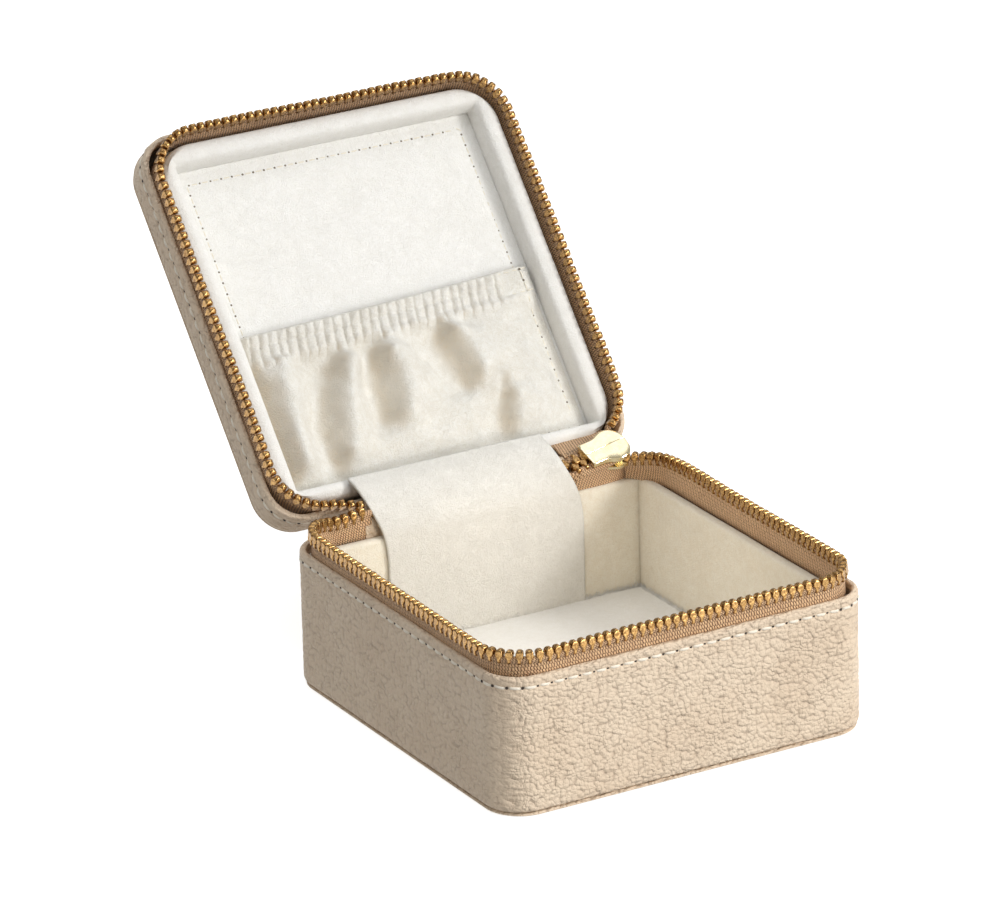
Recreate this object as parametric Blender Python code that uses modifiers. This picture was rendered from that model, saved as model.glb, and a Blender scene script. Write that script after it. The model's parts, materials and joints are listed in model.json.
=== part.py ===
"""Travel jewellery case: a square zip-around box with a hinged lid, shown open.

Frame: metres, +Z up. The origin is the centre of the underside. +X runs along
the hinge, -Y is the front and +Y the hinge side. Everything on the lid is laid
out as it sits on the closed case and is then swung open about the hinge line.
"""
import math

import bmesh
import bpy
from mathutils import Matrix, Vector

MM = 0.001

# Outer size of the closed case
HALF_X = 50.0 * MM
HALF_Y = 51.5 * MM
CORNER = 9.5 * MM
CORNER_STEPS = 6
LEATHER = 1.0 * MM
PANEL_INSET = 0.4 * MM
GAP = 0.3 * MM

# Heights on the closed case, from the ground up
BOTTOM_PANEL_TOP = 0.8 * MM
BASE_WALL_LOW = 1.1 * MM
SHELL_THICK = 1.3 * MM
SHELL_TOP = 30.4 * MM
CARD_TOP = 30.7 * MM
BASE_WALL_TOP = 34.7 * MM
BASE_TIP = 40.5 * MM
LID_TIP = 40.9 * MM
LID_WALL_LOW = 46.0 * MM
LID_WALL_TOP = 54.8 * MM
LID_TOP = 56.0 * MM

# Hinge: the lid turns about the leather spine at the back
HINGE_Y = 51.4 * MM
HINGE_Z = 40.9 * MM
OPEN_ANGLE = math.radians(130.8)
SPINE_HALF = 27.5 * MM
SPINE_THICK = 0.8 * MM
PANEL_HALF = 27.0 * MM
PANEL_THICK = 0.7 * MM

# Base interior
SHELL_HALF_X = 47.8 * MM
SHELL_HALF_Y = 49.3 * MM
SHELL_CORNER = 5.0 * MM
CARD_IN_X = 45.2 * MM
CARD_IN_Y = 46.7 * MM
CARD_THICK = 1.0 * MM
CARD_CHAMFER = 0.96 * MM
CARD_EDGE_MARGIN = 0.5 * MM
PAD_LOW = 2.7 * MM
PAD_TOP = 3.9 * MM
PAD_HALF_X = 44.6 * MM
PAD_HALF_Y = 45.2 * MM
PAD_CORNER = 1.5 * MM

# Lid interior
RIM_IN_X = 41.6 * MM
RIM_IN_Y = 42.9 * MM
RIM_OUT_X = 46.0 * MM
RIM_OUT_Y = 47.4 * MM
RIM_CORNER = 9.6 * MM
RIM_LOW = 45.0 * MM
FLOOR_LOW = 51.0 * MM
FLOOR_TOP = 52.2 * MM
FLOOR_CORNER = 1.0 * MM
BOARD_LOW = 52.6 * MM
BOARD_HALF_X = 48.5 * MM
BOARD_HALF_Y = 50.0 * MM
BOARD_CORNER = 8.0 * MM

# Elastic pocket on the lid floor
POCKET_HALF_X = 40.8 * MM
POCKET_FRONT = 2.0 * MM
POCKET_REAR = 42.2 * MM
POCKET_THICK = 0.7 * MM
POCKET_RISE = 4.4 * MM
POCKET_MOUTH = 2.6 * MM
POCKET_GRID = (12, 8)
POCKET_SIDE_REACH = 9 * MM
POCKET_FRONT_REACH = 0.4
POCKET_REAR_REACH = 0.3
ELASTIC_THICK = 0.5 * MM
ELASTIC_WIDTH = 6.0 * MM
ELASTIC_INSET = 8.0 * MM
ELASTIC_START = 0.4 * MM
ELASTIC_SLOPE = 1.0 * MM

# Zip
TRACK_INSET = 1.6 * MM
TRACK_CORNER = 12.0 * MM
TAPE_THICK = 0.6 * MM
TOOTH_PITCH = 2.25 * MM
TOOTH_THICK = 2.2 * MM
TOOTH_RISE = 1.9 * MM
BEAD_HEIGHT = 1.0 * MM
CHAIN_START = math.radians(48.0)
CHAIN_END_X = -27.5 * MM
CHAIN_START_STEPS = 3
LID_TAPE_TOP = 51.8 * MM
STOP_LENGTH = 1.6 * MM

# Closed length of zip beside the hinge, its slider and pull
FOLD_POINT = Vector((37.03 * MM, 48.75 * MM, 39.83 * MM))
FOLD_SLANT = math.radians(8.0)
SLIDER_CENTRE = Vector((36.97 * MM, 49.2 * MM, 39.9 * MM))
MESHED_START = -9.0 * MM
MESHED_END = -3.0 * MM
MESHED_HALF = 2.9 * MM
SLIDER_THICK = 4.4 * MM
CHANNEL_HEIGHT = 2.6 * MM
CHANNEL_HALF = 3.3 * MM
SLOT_HEIGHT = 1.1 * MM
PIN_RADIUS = 0.6 * MM
PIN_X = 2.6 * MM
PIN_Y = 3.5 * MM
EYE_HALF = 1.3 * MM
PULL_LENGTH = 14.0 * MM
PULL_HALF = 2.0 * MM
PULL_THICK = 1.1 * MM
PULL_REST = math.radians(84.0)
EYE_RADIUS = 1.3 * MM
BORE_RADIUS = 0.85 * MM
PULL_NECK = ((-0.9 * MM, EYE_HALF), (2.6 * MM, EYE_HALF))
PULL_SHOULDER = 4.0 * MM
EAR_WIDTH = 0.9 * MM
EAR_ROOT = 2.0 * MM
PIN_GRIP = 0.4 * MM
POST_RADIUS = 1.3 * MM
POST_X = 3.3 * MM
POST_REACH = 1.6 * MM
CUT_REACH = 8.0 * MM
BORE_REACH = 2.0 * MM
MESHED_LEVEL = 1.0 * MM
REAR_TAPE_WIDTH = 1.5 * MM
BOTTOM_STOP_START = -11.4 * MM
BOTTOM_STOP_END = -10.2 * MM
BOTTOM_STOP_HALF = 2.0 * MM

# Room in both tapes for the slider
ROOM_START = 20.0 * MM
ROOM_END = 46.0 * MM
ROOM_FRONT = 40.0 * MM
ROOM_BACK = 55.0 * MM
BASE_ROOM = (34.4 * MM, 45.0 * MM)
LID_ROOM = (36.0 * MM, 45.4 * MM)

LEATHER_COLOUR = (0.58, 0.47, 0.36)
SUEDE_COLOUR = (0.84, 0.78, 0.66)
PLUSH_COLOUR = (0.90, 0.88, 0.82)
TAPE_COLOUR = (0.42, 0.27, 0.15)
BRASS_COLOUR = (0.60, 0.41, 0.14)
GOLD_COLOUR = (0.86, 0.70, 0.36)
BOARD_COLOUR = (0.35, 0.31, 0.26)


# ---------------------------------------------------------------- scene set-up

def clear_scene():
    for obj in list(bpy.data.objects):
        bpy.data.objects.remove(obj, do_unlink=True)


def new_collection(name):
    group = bpy.data.collections.new(name)
    bpy.context.scene.collection.children.link(group)
    return group


def make_material(name, colour, roughness, metallic=0.0):
    material = bpy.data.materials.new(name)
    material.use_nodes = True
    shader = material.node_tree.nodes["Principled BSDF"]
    shader.inputs["Base Color"].default_value = (*colour, 1.0)
    shader.inputs["Roughness"].default_value = roughness
    shader.inputs["Metallic"].default_value = metallic
    material.diffuse_color = (*colour, 1.0)
    return material


def make_empty(name, matrix):
    empty = bpy.data.objects.new(name, None)
    empty.empty_display_size = 0.01
    empty.matrix_world = matrix
    PARTS.objects.link(empty)
    return empty


def object_from(bm, name, look, parent=None, collection=None):
    """Turn a bmesh into an object; look is (colour, roughness, metallic)."""
    bmesh.ops.recalc_face_normals(bm, faces=bm.faces)
    mesh = bpy.data.meshes.new(name)
    bm.to_mesh(mesh)
    bm.free()
    obj = bpy.data.objects.new(name, mesh)
    if look is not None:
        mesh.materials.append(make_material(name, *look))
    (collection or PARTS).objects.link(obj)
    if parent is not None:
        obj.parent = parent
        obj.matrix_parent_inverse = Matrix.Identity(4)
    return obj


# ---------------------------------------------------------------- basic shapes

def box_mesh(low, high):
    """A bmesh box between two corners."""
    bm = bmesh.new()
    bmesh.ops.create_cube(bm, size=1.0)
    low = Vector(low)
    high = Vector(high)
    size = high - low
    bmesh.ops.scale(bm, vec=size, verts=bm.verts)
    bmesh.ops.translate(bm, vec=(low + high) / 2, verts=bm.verts)
    return bm


def is_upright(edge):
    low, high = edge.verts
    return abs(low.co.z - high.co.z) > 1e-6


def rounded_box(half_x, half_y, low, high, radius, steps=CORNER_STEPS):
    """A box whose four upright edges are rounded."""
    bm = box_mesh((-half_x, -half_y, low), (half_x, half_y, high))
    upright = [edge for edge in bm.edges if is_upright(edge)]
    bmesh.ops.bevel(bm, geom=upright, offset=radius, segments=steps, profile=0.5, affect="EDGES")
    return bm


def drop_flat_faces(bm, at_top, at_bottom):
    """Open a rounded box at its top, its bottom or both."""
    flat = []
    for face in bm.faces:
        normal_z = face.normal.z
        if at_top and normal_z > 0.9:
            flat.append(face)
        if at_bottom and normal_z < -0.9:
            flat.append(face)
    bmesh.ops.delete(bm, geom=flat, context="FACES_ONLY")


def add_solidify(obj, thickness, offset):
    solidify = obj.modifiers.new("Thickness", "SOLIDIFY")
    solidify.thickness = thickness
    solidify.offset = offset
    solidify.use_even_offset = True
    return solidify


def plate(name, half_x, half_y, low, high, radius, look, parent=None):
    bm = rounded_box(half_x, half_y, low, high, radius)
    return object_from(bm, name, look, parent)


def wall(name, half_x, half_y, low, high, radius, thickness, look, parent=None):
    """A wall that runs all the way round, open above and below."""
    bm = rounded_box(half_x, half_y, low, high, radius)
    bm.normal_update()
    drop_flat_faces(bm, at_top=True, at_bottom=True)
    obj = object_from(bm, name, look, parent)
    add_solidify(obj, thickness, -1.0)
    return obj


def strip(name, profile, half_x, thickness, look, parent=None):
    """A sheet that follows a profile of (y, z) points and runs along X."""
    bm = bmesh.new()
    points = [bm.verts.new((-half_x, y, z)) for y, z in profile]
    edges = [bm.edges.new(pair) for pair in zip(points, points[1:])]
    swept = bmesh.ops.extrude_edge_only(bm, edges=edges)["geom"]
    moved = [item for item in swept if isinstance(item, bmesh.types.BMVert)]
    bmesh.ops.translate(bm, vec=(2 * half_x, 0, 0), verts=moved)
    obj = object_from(bm, name, look, parent)
    add_solidify(obj, thickness, 0.0)
    return obj


def cutter(name, low, high, parent=None):
    obj = object_from(box_mesh(low, high), name, None, parent, CUTTERS)
    obj.hide_render = True
    obj.display_type = "WIRE"
    return obj


def apply_boolean(obj, tool, operation):
    boolean = obj.modifiers.new(operation.title() + " " + tool.name, "BOOLEAN")
    boolean.operation = operation
    boolean.solver = "EXACT"
    boolean.object = tool
    return boolean


# ---------------------------------------------------------------- zip track

def track_pieces():
    """The zip's centre line seen from above, as ("arc" or "line", data, length).

    It starts in the right rear corner, passes the right side, the front and the
    left side, and ends on the rear side left of the hinge panel.
    """
    side_x = HALF_X - TRACK_INSET
    side_y = HALF_Y - TRACK_INSET
    inner_x = side_x - TRACK_CORNER
    inner_y = side_y - TRACK_CORNER
    quarter = math.pi / 2

    def arc(centre, start, sweep):
        return ("arc", (Vector(centre), start, sweep), TRACK_CORNER * sweep)

    def line(start, end):
        return ("line", (Vector(start), Vector(end)), (Vector(end) - Vector(start)).length)

    return [
        arc((inner_x, inner_y), CHAIN_START, CHAIN_START),
        line((side_x, inner_y), (side_x, -inner_y)),
        arc((inner_x, -inner_y), 0.0, quarter),
        line((inner_x, -side_y), (-inner_x, -side_y)),
        arc((-inner_x, -inner_y), -quarter, quarter),
        line((-side_x, -inner_y), (-side_x, inner_y)),
        arc((-inner_x, inner_y), math.pi, quarter),
        line((-inner_x, side_y), (CHAIN_END_X, side_y)),
    ]


def track_point(distance):
    """The point on the centre line at a distance from its start, clockwise from above."""
    pieces = track_pieces()
    for kind, data, length in pieces:
        if distance <= length + 1e-9:
            break
        distance -= length
    if kind == "line":
        start, end = data
        return start.lerp(end, distance / length)
    centre, start_angle, _sweep = data
    angle = start_angle - distance / TRACK_CORNER
    return centre + TRACK_CORNER * Vector((math.cos(angle), math.sin(angle)))


def track_length():
    return sum(length for _kind, _data, length in track_pieces())


def zip_chain(name, bead_outer, tip, parent=None):
    """Teeth standing on a bead: every second stretch of the ribbon carries a tooth."""
    bead_inner = bead_outer + math.copysign(BEAD_HEIGHT, tip - bead_outer)
    tooth_count = round(track_length() / TOOTH_PITCH)
    stretch = track_length() / (2 * tooth_count + 1)
    bm = bmesh.new()
    columns = []
    for index in range(2 * tooth_count + 2):
        x, y = track_point(index * stretch)
        columns.append([bm.verts.new((x, y, z)) for z in (bead_outer, bead_inner, tip)])
    for index, (here, after) in enumerate(zip(columns, columns[1:])):
        bm.faces.new((here[0], after[0], after[1], here[1]))
        if index % 2 == 0:
            bm.faces.new((here[1], after[1], after[2], here[2]))
    loose = [vert for vert in bm.verts if not vert.link_faces]
    bmesh.ops.delete(bm, geom=loose, context="VERTS")
    obj = object_from(bm, name, (BRASS_COLOUR, 0.35, 1.0), parent)
    add_solidify(obj, TOOTH_THICK, 0.0)
    return obj


def tape_points():
    """Centre-line points for the tape: corners in even steps, plus the rear right run."""
    rear_y = HALF_Y - TRACK_INSET
    centre = Vector((HALF_X - TRACK_INSET - TRACK_CORNER, rear_y - TRACK_CORNER))
    points = [Vector((-CHAIN_END_X, rear_y))]
    steps = CORNER_STEPS
    start_sweep = math.pi / 2 - CHAIN_START
    for index in range(CHAIN_START_STEPS):
        angle = math.pi / 2 - start_sweep * index / CHAIN_START_STEPS
        points.append(centre + TRACK_CORNER * Vector((math.cos(angle), math.sin(angle))))
    travelled = 0.0
    for kind, _data, length in track_pieces():
        count = steps if kind == "arc" else 1
        for index in range(count):
            points.append(track_point(travelled + length * index / count))
        travelled += length
    points.append(track_point(track_length()))
    return points


def zip_tape(name, low, high, parent=None):
    """The woven tape, an upright band along the track."""
    bm = bmesh.new()
    columns = []
    for x, y in tape_points():
        columns.append([bm.verts.new((x, y, z)) for z in (low, high)])
    for here, after in zip(columns, columns[1:]):
        bm.faces.new((here[0], after[0], after[1], here[1]))
    obj = object_from(bm, name, (TAPE_COLOUR, 0.85, 0.0), parent)
    add_solidify(obj, TAPE_THICK, 0.0)
    return obj


def top_stop(name, low, high, parent=None):
    """The small clamp that ends a row of teeth, tucked under the hinge panel."""
    rear_y = HALF_Y - TRACK_INSET
    start = CHAIN_END_X + GAP
    half = TOOTH_THICK / 2
    bm = box_mesh((start, rear_y - half, low), (start + STOP_LENGTH, rear_y + half, high))
    return object_from(bm, name, (BRASS_COLOUR, 0.3, 1.0), parent)


def slider_room(levels):
    """Low and high corners of the stretch where the tape gives way to the slider."""
    low, high = levels
    return (ROOM_START, ROOM_FRONT, low), (ROOM_END, ROOM_BACK, high)


# ---------------------------------------------------------------- base

def build_base():
    leather = (LEATHER_COLOUR, 0.6, 0.0)
    suede = (SUEDE_COLOUR, 0.95, 0.0)
    plate("base_bottom_leather", HALF_X - PANEL_INSET, HALF_Y - PANEL_INSET, 0.0, BOTTOM_PANEL_TOP,
          CORNER - PANEL_INSET, leather)
    wall("base_leather_wall", HALF_X, HALF_Y, BASE_WALL_LOW, BASE_WALL_TOP, CORNER, LEATHER, leather)
    build_base_shell()
    build_wall_cards(suede)
    plate("base_floor_pad", PAD_HALF_X, PAD_HALF_Y, PAD_LOW, PAD_TOP, PAD_CORNER,
          (PLUSH_COLOUR, 1.0, 0.0))
    base_tape_low = CARD_TOP + GAP
    bead_low = BASE_TIP - TOOTH_RISE - BEAD_HEIGHT
    tape = zip_tape("base_zip_tape", base_tape_low, bead_low - GAP)
    room = cutter("base_slider_room", *slider_room(BASE_ROOM))
    apply_boolean(tape, room, "DIFFERENCE")
    zip_chain("base_zip_teeth", bead_low, BASE_TIP)
    top_stop("base_top_stop", bead_low, BASE_TIP)
    spine = [(49.75, 31.0), (49.75, 35.2), (51.4, 36.8), (51.4, 39.3)]
    strip("spine_base_half", to_metres(spine), SPINE_HALF, SPINE_THICK, leather)
    panel = [(46.0, 4.3), (46.0, 31.0), (46.5, 32.2), (47.6, 33.3), (48.6, 34.1)]
    strip("hinge_panel_base_half", to_metres(panel), PANEL_HALF, PANEL_THICK, suede)


def to_metres(points):
    return [(y * MM, z * MM) for y, z in points]


def build_base_shell():
    """Stiff tray inside the leather: a floor and four walls, open at the top."""
    bm = rounded_box(SHELL_HALF_X, SHELL_HALF_Y, BASE_WALL_LOW, SHELL_TOP, SHELL_CORNER)
    bm.normal_update()
    drop_flat_faces(bm, at_top=True, at_bottom=False)
    shell = object_from(bm, "base_shell", (BOARD_COLOUR, 0.9, 0.0))
    add_solidify(shell, SHELL_THICK, -1.0)


def card(name, low, high, outer_edge, look):
    """A suede-covered card; outer_edge(x, y) says which upright edges are chamfered."""
    bm = box_mesh(low, high)
    chosen = []
    for edge in bm.edges:
        middle = (edge.verts[0].co + edge.verts[1].co) / 2
        if is_upright(edge) and outer_edge(middle.x, middle.y):
            chosen.append(edge)
    bmesh.ops.bevel(bm, geom=chosen, offset=CARD_CHAMFER, segments=1, affect="EDGES")
    return object_from(bm, name, look)


def build_wall_cards(look):
    """Four lining cards: the front and rear ones fit between the corners of the tray."""
    low = BASE_WALL_LOW + SHELL_THICK + GAP
    long_x = CARD_IN_X - 0.2 * MM
    outer_y = CARD_IN_Y + CARD_THICK
    outer_x = CARD_IN_X + CARD_THICK
    long_y = CARD_IN_Y - GAP
    for name, side in (("base_lining_front", -1), ("base_lining_rear", 1)):
        near = min(side * CARD_IN_Y, side * outer_y)
        far = max(side * CARD_IN_Y, side * outer_y)
        card(name, (-long_x, near, low), (long_x, far, CARD_TOP),
             lambda _x, y: abs(y) > CARD_IN_Y + CARD_EDGE_MARGIN, look)
    for name, side in (("base_lining_left", -1), ("base_lining_right", 1)):
        near = min(side * CARD_IN_X, side * outer_x)
        far = max(side * CARD_IN_X, side * outer_x)
        card(name, (near, -long_y, low), (far, long_y, CARD_TOP),
             lambda x, _y: abs(x) > CARD_IN_X + CARD_EDGE_MARGIN, look)


# ---------------------------------------------------------------- lid

def lid_frame():
    """Takes a point of the closed case to where the open lid carries it."""
    hinge = Vector((0.0, HINGE_Y, HINGE_Z))
    swing = Matrix.Rotation(-OPEN_ANGLE, 4, "X")
    return Matrix.Translation(hinge) @ swing @ Matrix.Translation(-hinge)


def build_lid():
    leather = (LEATHER_COLOUR, 0.6, 0.0)
    suede = (SUEDE_COLOUR, 0.95, 0.0)
    hinge = make_empty("lid_hinge_line", lid_frame())
    wall("lid_leather_wall", HALF_X, HALF_Y, LID_WALL_LOW, LID_WALL_TOP, CORNER, LEATHER,
         leather, hinge)
    plate("lid_top_leather", HALF_X - PANEL_INSET, HALF_Y - PANEL_INSET, LID_WALL_TOP + GAP, LID_TOP,
          CORNER - PANEL_INSET, leather, hinge)
    plate("lid_board", BOARD_HALF_X, BOARD_HALF_Y, BOARD_LOW, LID_WALL_TOP, BOARD_CORNER,
          (BOARD_COLOUR, 0.9, 0.0), hinge)
    build_padded_rim(suede, hinge)
    plate("lid_floor_panel", RIM_IN_X - GAP, RIM_IN_Y - GAP, FLOOR_LOW, FLOOR_TOP, FLOOR_CORNER,
          suede, hinge)
    build_pocket(suede, hinge)
    bead_high = LID_TIP + TOOTH_RISE + BEAD_HEIGHT
    tape = zip_tape("lid_zip_tape", bead_high + GAP, LID_TAPE_TOP, hinge)
    room = cutter("lid_slider_room", *slider_room(LID_ROOM), hinge)
    apply_boolean(tape, room, "DIFFERENCE")
    zip_chain("lid_zip_teeth", bead_high, LID_TIP, hinge)
    top_stop("lid_top_stop", LID_TIP, bead_high, hinge)
    spine = [(51.4, 42.5), (51.4, 43.9), (49.75, 45.5), (49.75, 51.8)]
    strip("spine_lid_half", to_metres(spine), SPINE_HALF, SPINE_THICK, leather, hinge)
    panel = [(43.2, 44.3), (46.0, 44.3), (48.3, 44.3)]
    strip("hinge_panel_lid_half", to_metres(panel), PANEL_HALF, PANEL_THICK, suede, hinge)


def build_padded_rim(look, hinge):
    """The padded suede ledge round the inside of the lid, with square inner corners."""
    bm = rounded_box(RIM_OUT_X, RIM_OUT_Y, RIM_LOW, FLOOR_TOP, RIM_CORNER)
    rim = object_from(bm, "lid_padded_rim", look, hinge)
    window = cutter("lid_rim_window", (-RIM_IN_X, -RIM_IN_Y, RIM_LOW - MM),
                    (RIM_IN_X, RIM_IN_Y, FLOOR_TOP + MM), hinge)
    apply_boolean(rim, window, "DIFFERENCE")


def smooth_rise(distance, reach):
    """0 at an edge, rising smoothly to 1 at reach from it."""
    share = max(0.0, min(1.0, distance / reach))
    return math.sin(share * math.pi / 2)


def build_pocket(look, hinge):
    """A bulging sheet held at the bottom and both sides, open towards the front."""
    bm = bmesh.new()
    columns, rows = POCKET_GRID
    bmesh.ops.create_grid(bm, x_segments=columns, y_segments=rows, size=1.0)
    depth = POCKET_REAR - POCKET_FRONT
    base_level = FLOOR_LOW - GAP - POCKET_THICK / 2
    for vert in bm.verts:
        x = vert.co.x * POCKET_HALF_X
        along = (vert.co.y + 1) / 2
        y = POCKET_FRONT + along * depth
        side = smooth_rise(POCKET_HALF_X - abs(x), POCKET_SIDE_REACH)
        lift = POCKET_MOUTH + (POCKET_RISE - POCKET_MOUTH) * smooth_rise(along, POCKET_FRONT_REACH)
        lift *= smooth_rise(1 - along, POCKET_REAR_REACH) * side
        vert.co = (x, y, base_level - lift)
    sheet = object_from(bm, "lid_pocket", look, hinge)
    add_solidify(sheet, POCKET_THICK, 0.0)
    half = POCKET_HALF_X - ELASTIC_INSET
    top = base_level - POCKET_MOUTH + POCKET_THICK / 2 + GAP
    band = box_mesh((-half, POCKET_FRONT + ELASTIC_START, top),
                    (half, POCKET_FRONT + ELASTIC_WIDTH, top + ELASTIC_THICK))
    for vert in band.verts:
        if vert.co.y > POCKET_FRONT + MM:
            vert.co.z -= ELASTIC_SLOPE
    object_from(band, "pocket_elastic", (SUEDE_COLOUR, 0.9, 0.0), hinge)


# ---------------------------------------------------------------- zip slider

def fold_frame():
    """Carries the closed length of zip from its closed-lid place to its open-lid place."""
    axis = Vector((math.cos(FOLD_SLANT), math.sin(FOLD_SLANT), 0.0))
    swing = Matrix.Rotation(-OPEN_ANGLE / 2, 4, axis)
    return Matrix.Translation(FOLD_POINT) @ swing @ Matrix.Translation(SLIDER_CENTRE - FOLD_POINT)


def build_meshed_zip(fold):
    """Three closed pairs of teeth on two short tapes, between the slider and the panel."""
    half = TOOTH_PITCH / 2
    count = round((MESHED_END - MESHED_START) / half)
    levels = (-MESHED_HALF, -MESHED_LEVEL, MESHED_LEVEL, MESHED_HALF)
    bm = bmesh.new()
    columns = []
    for index in range(count + 1):
        x = MESHED_START + (MESHED_END - MESHED_START) * index / count
        columns.append([bm.verts.new((x, 0.0, z)) for z in levels])
    for index, (here, after) in enumerate(zip(columns, columns[1:])):
        rows = (1, 2) if index % 2 == 0 else (0, 1)
        for row in rows:
            bm.faces.new((here[row], after[row], after[row + 1], here[row + 1]))
    loose = [vert for vert in bm.verts if not vert.link_faces]
    bmesh.ops.delete(bm, geom=loose, context="VERTS")
    teeth = object_from(bm, "rear_zip_teeth", (BRASS_COLOUR, 0.35, 1.0), fold)
    add_solidify(teeth, TOOTH_THICK, 0.0)
    for name, side in (("rear_zip_tape_lower", -1), ("rear_zip_tape_upper", 1)):
        inner = side * (MESHED_HALF + GAP)
        outer = side * (MESHED_HALF + GAP + REAR_TAPE_WIDTH)
        bm = box_mesh((MESHED_START, -TAPE_THICK / 2, min(inner, outer)),
                      (MESHED_END, TAPE_THICK / 2, max(inner, outer)))
        object_from(bm, name, (TAPE_COLOUR, 0.85, 0.0), fold)
    stop = box_mesh((BOTTOM_STOP_START, -TOOTH_THICK / 2, -BOTTOM_STOP_HALF),
                    (BOTTOM_STOP_END, TOOTH_THICK / 2, BOTTOM_STOP_HALF))
    object_from(stop, "zip_bottom_stop", (BRASS_COLOUR, 0.3, 1.0), fold)


def slider_outline():
    """Half outline of the slider from its tail to its nose, as (x, half width)."""
    return [(-5.7, 3.6), (-2.0, 3.75), (-0.6, 4.0), (0.8, 4.6), (2.2, 4.9), (3.8, 4.7), (5.0, 3.8),
            (5.7, 2.2)]


def flat_outline(bm, points, low, high):
    """An outline in X and Z, made solid between two levels of Y."""
    verts = [bm.verts.new((x, low, z)) for x, z in points]
    face = bm.faces.new(verts)
    grown = bmesh.ops.extrude_face_region(bm, geom=[face])["geom"]
    moved = [item for item in grown if isinstance(item, bmesh.types.BMVert)]
    bmesh.ops.translate(bm, vec=(0, high - low, 0), verts=moved)


def cylinder_mesh(radius, low, high, centre, axis, segments):
    """A bmesh cylinder along Y or Z."""
    bm = bmesh.new()
    bmesh.ops.create_cone(bm, cap_ends=True, segments=segments, radius1=radius, radius2=radius,
                          depth=high - low)
    bmesh.ops.translate(bm, vec=(0, 0, (low + high) / 2), verts=bm.verts)
    if axis == "Y":
        bmesh.ops.rotate(bm, matrix=Matrix.Rotation(-math.pi / 2, 3, "X"), verts=bm.verts)
    bmesh.ops.translate(bm, vec=centre, verts=bm.verts)
    return bm


def helper(bm, name, parent):
    obj = object_from(bm, name, None, parent, CUTTERS)
    obj.hide_render = True
    obj.display_type = "WIRE"
    return obj


def build_slider(fold):
    """Two plates joined by a post, with a channel for the teeth and two ears for the pull."""
    half = [(x * MM, z * MM) for x, z in slider_outline()]
    outline = half + [(x, -z) for x, z in reversed(half)]
    bm = bmesh.new()
    flat_outline(bm, outline, -SLIDER_THICK / 2, SLIDER_THICK / 2)
    slider = object_from(bm, "zip_slider", (GOLD_COLOUR, 0.2, 1.0), fold)
    reach = CUT_REACH
    channel = cutter("slider_channel", (-reach, -CHANNEL_HEIGHT / 2, -CHANNEL_HALF),
                     (reach, CHANNEL_HEIGHT / 2, CHANNEL_HALF), fold)
    slot = cutter("slider_slot", (-reach, -SLOT_HEIGHT / 2, -reach),
                  (reach, SLOT_HEIGHT / 2, reach), fold)
    apply_boolean(slider, channel, "DIFFERENCE")
    apply_boolean(slider, slot, "DIFFERENCE")
    post = cylinder_mesh(POST_RADIUS, -POST_REACH, POST_REACH, (POST_X, 0, 0), "Y", 12)
    apply_boolean(slider, helper(post, "slider_post", fold), "UNION")
    ear_low = EYE_HALF + GAP
    for side in (-1, 1):
        near = min(side * ear_low, side * (ear_low + EAR_WIDTH))
        far = max(side * ear_low, side * (ear_low + EAR_WIDTH))
        ear = box_mesh((PIN_X - MM, EAR_ROOT, near), (PIN_X + MM, PIN_Y + MM, far))
        apply_boolean(slider, helper(ear, "slider_ear_" + ("low" if side < 0 else "high"), fold), "UNION")
    pin_half = ear_low + PIN_GRIP
    pin = cylinder_mesh(PIN_RADIUS, -pin_half, pin_half, (PIN_X, PIN_Y, 0), "Z", 12)
    apply_boolean(slider, helper(pin, "slider_pin", fold), "UNION")


def build_pull(fold):
    """A flat metal tab whose eye turns on the slider's pin."""
    tilt = Matrix.Rotation(-PULL_REST, 4, "Z")
    pivot = make_empty("pull_pin_line", Matrix.Identity(4))
    pivot.parent = fold
    pivot.matrix_basis = Matrix.Translation((PIN_X, PIN_Y, 0.0)) @ tilt
    eye = cylinder_mesh(EYE_RADIUS, -EYE_HALF, EYE_HALF, (0, 0, 0), "Z", 16)
    pull = object_from(eye, "pull_tab", (GOLD_COLOUR, 0.2, 1.0), pivot)
    half = PULL_HALF
    length = PULL_LENGTH
    shape = [*PULL_NECK, (PULL_SHOULDER, half), (length - MM, half), (length, half - MM)]
    outline = [(y, z) for y, z in shape] + [(y, -z) for y, z in reversed(shape)]
    tab = bmesh.new()
    verts = [tab.verts.new((-PULL_THICK / 2, y, z)) for y, z in outline]
    face = tab.faces.new(verts)
    grown = bmesh.ops.extrude_face_region(tab, geom=[face])["geom"]
    moved = [item for item in grown if isinstance(item, bmesh.types.BMVert)]
    bmesh.ops.translate(tab, vec=(PULL_THICK, 0, 0), verts=moved)
    apply_boolean(pull, helper(tab, "pull_blade", pivot), "UNION")
    bore = cylinder_mesh(BORE_RADIUS, -BORE_REACH, BORE_REACH, (0, 0, 0), "Z", 12)
    apply_boolean(pull, helper(bore, "pull_bore", pivot), "DIFFERENCE")


clear_scene()
PARTS = new_collection("travel_jewelry_case")
CUTTERS = new_collection("cutters")
build_base()
build_lid()
FOLD = make_empty("rear_zip_fold_line", fold_frame())
build_meshed_zip(FOLD)
build_slider(FOLD)
build_pull(FOLD)
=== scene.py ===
"""Looks of the travel jewellery case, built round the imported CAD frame."""

import json
import math
import random

import bmesh
import bpy
import numpy as np
from mathutils import Matrix, Vector, noise


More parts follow.
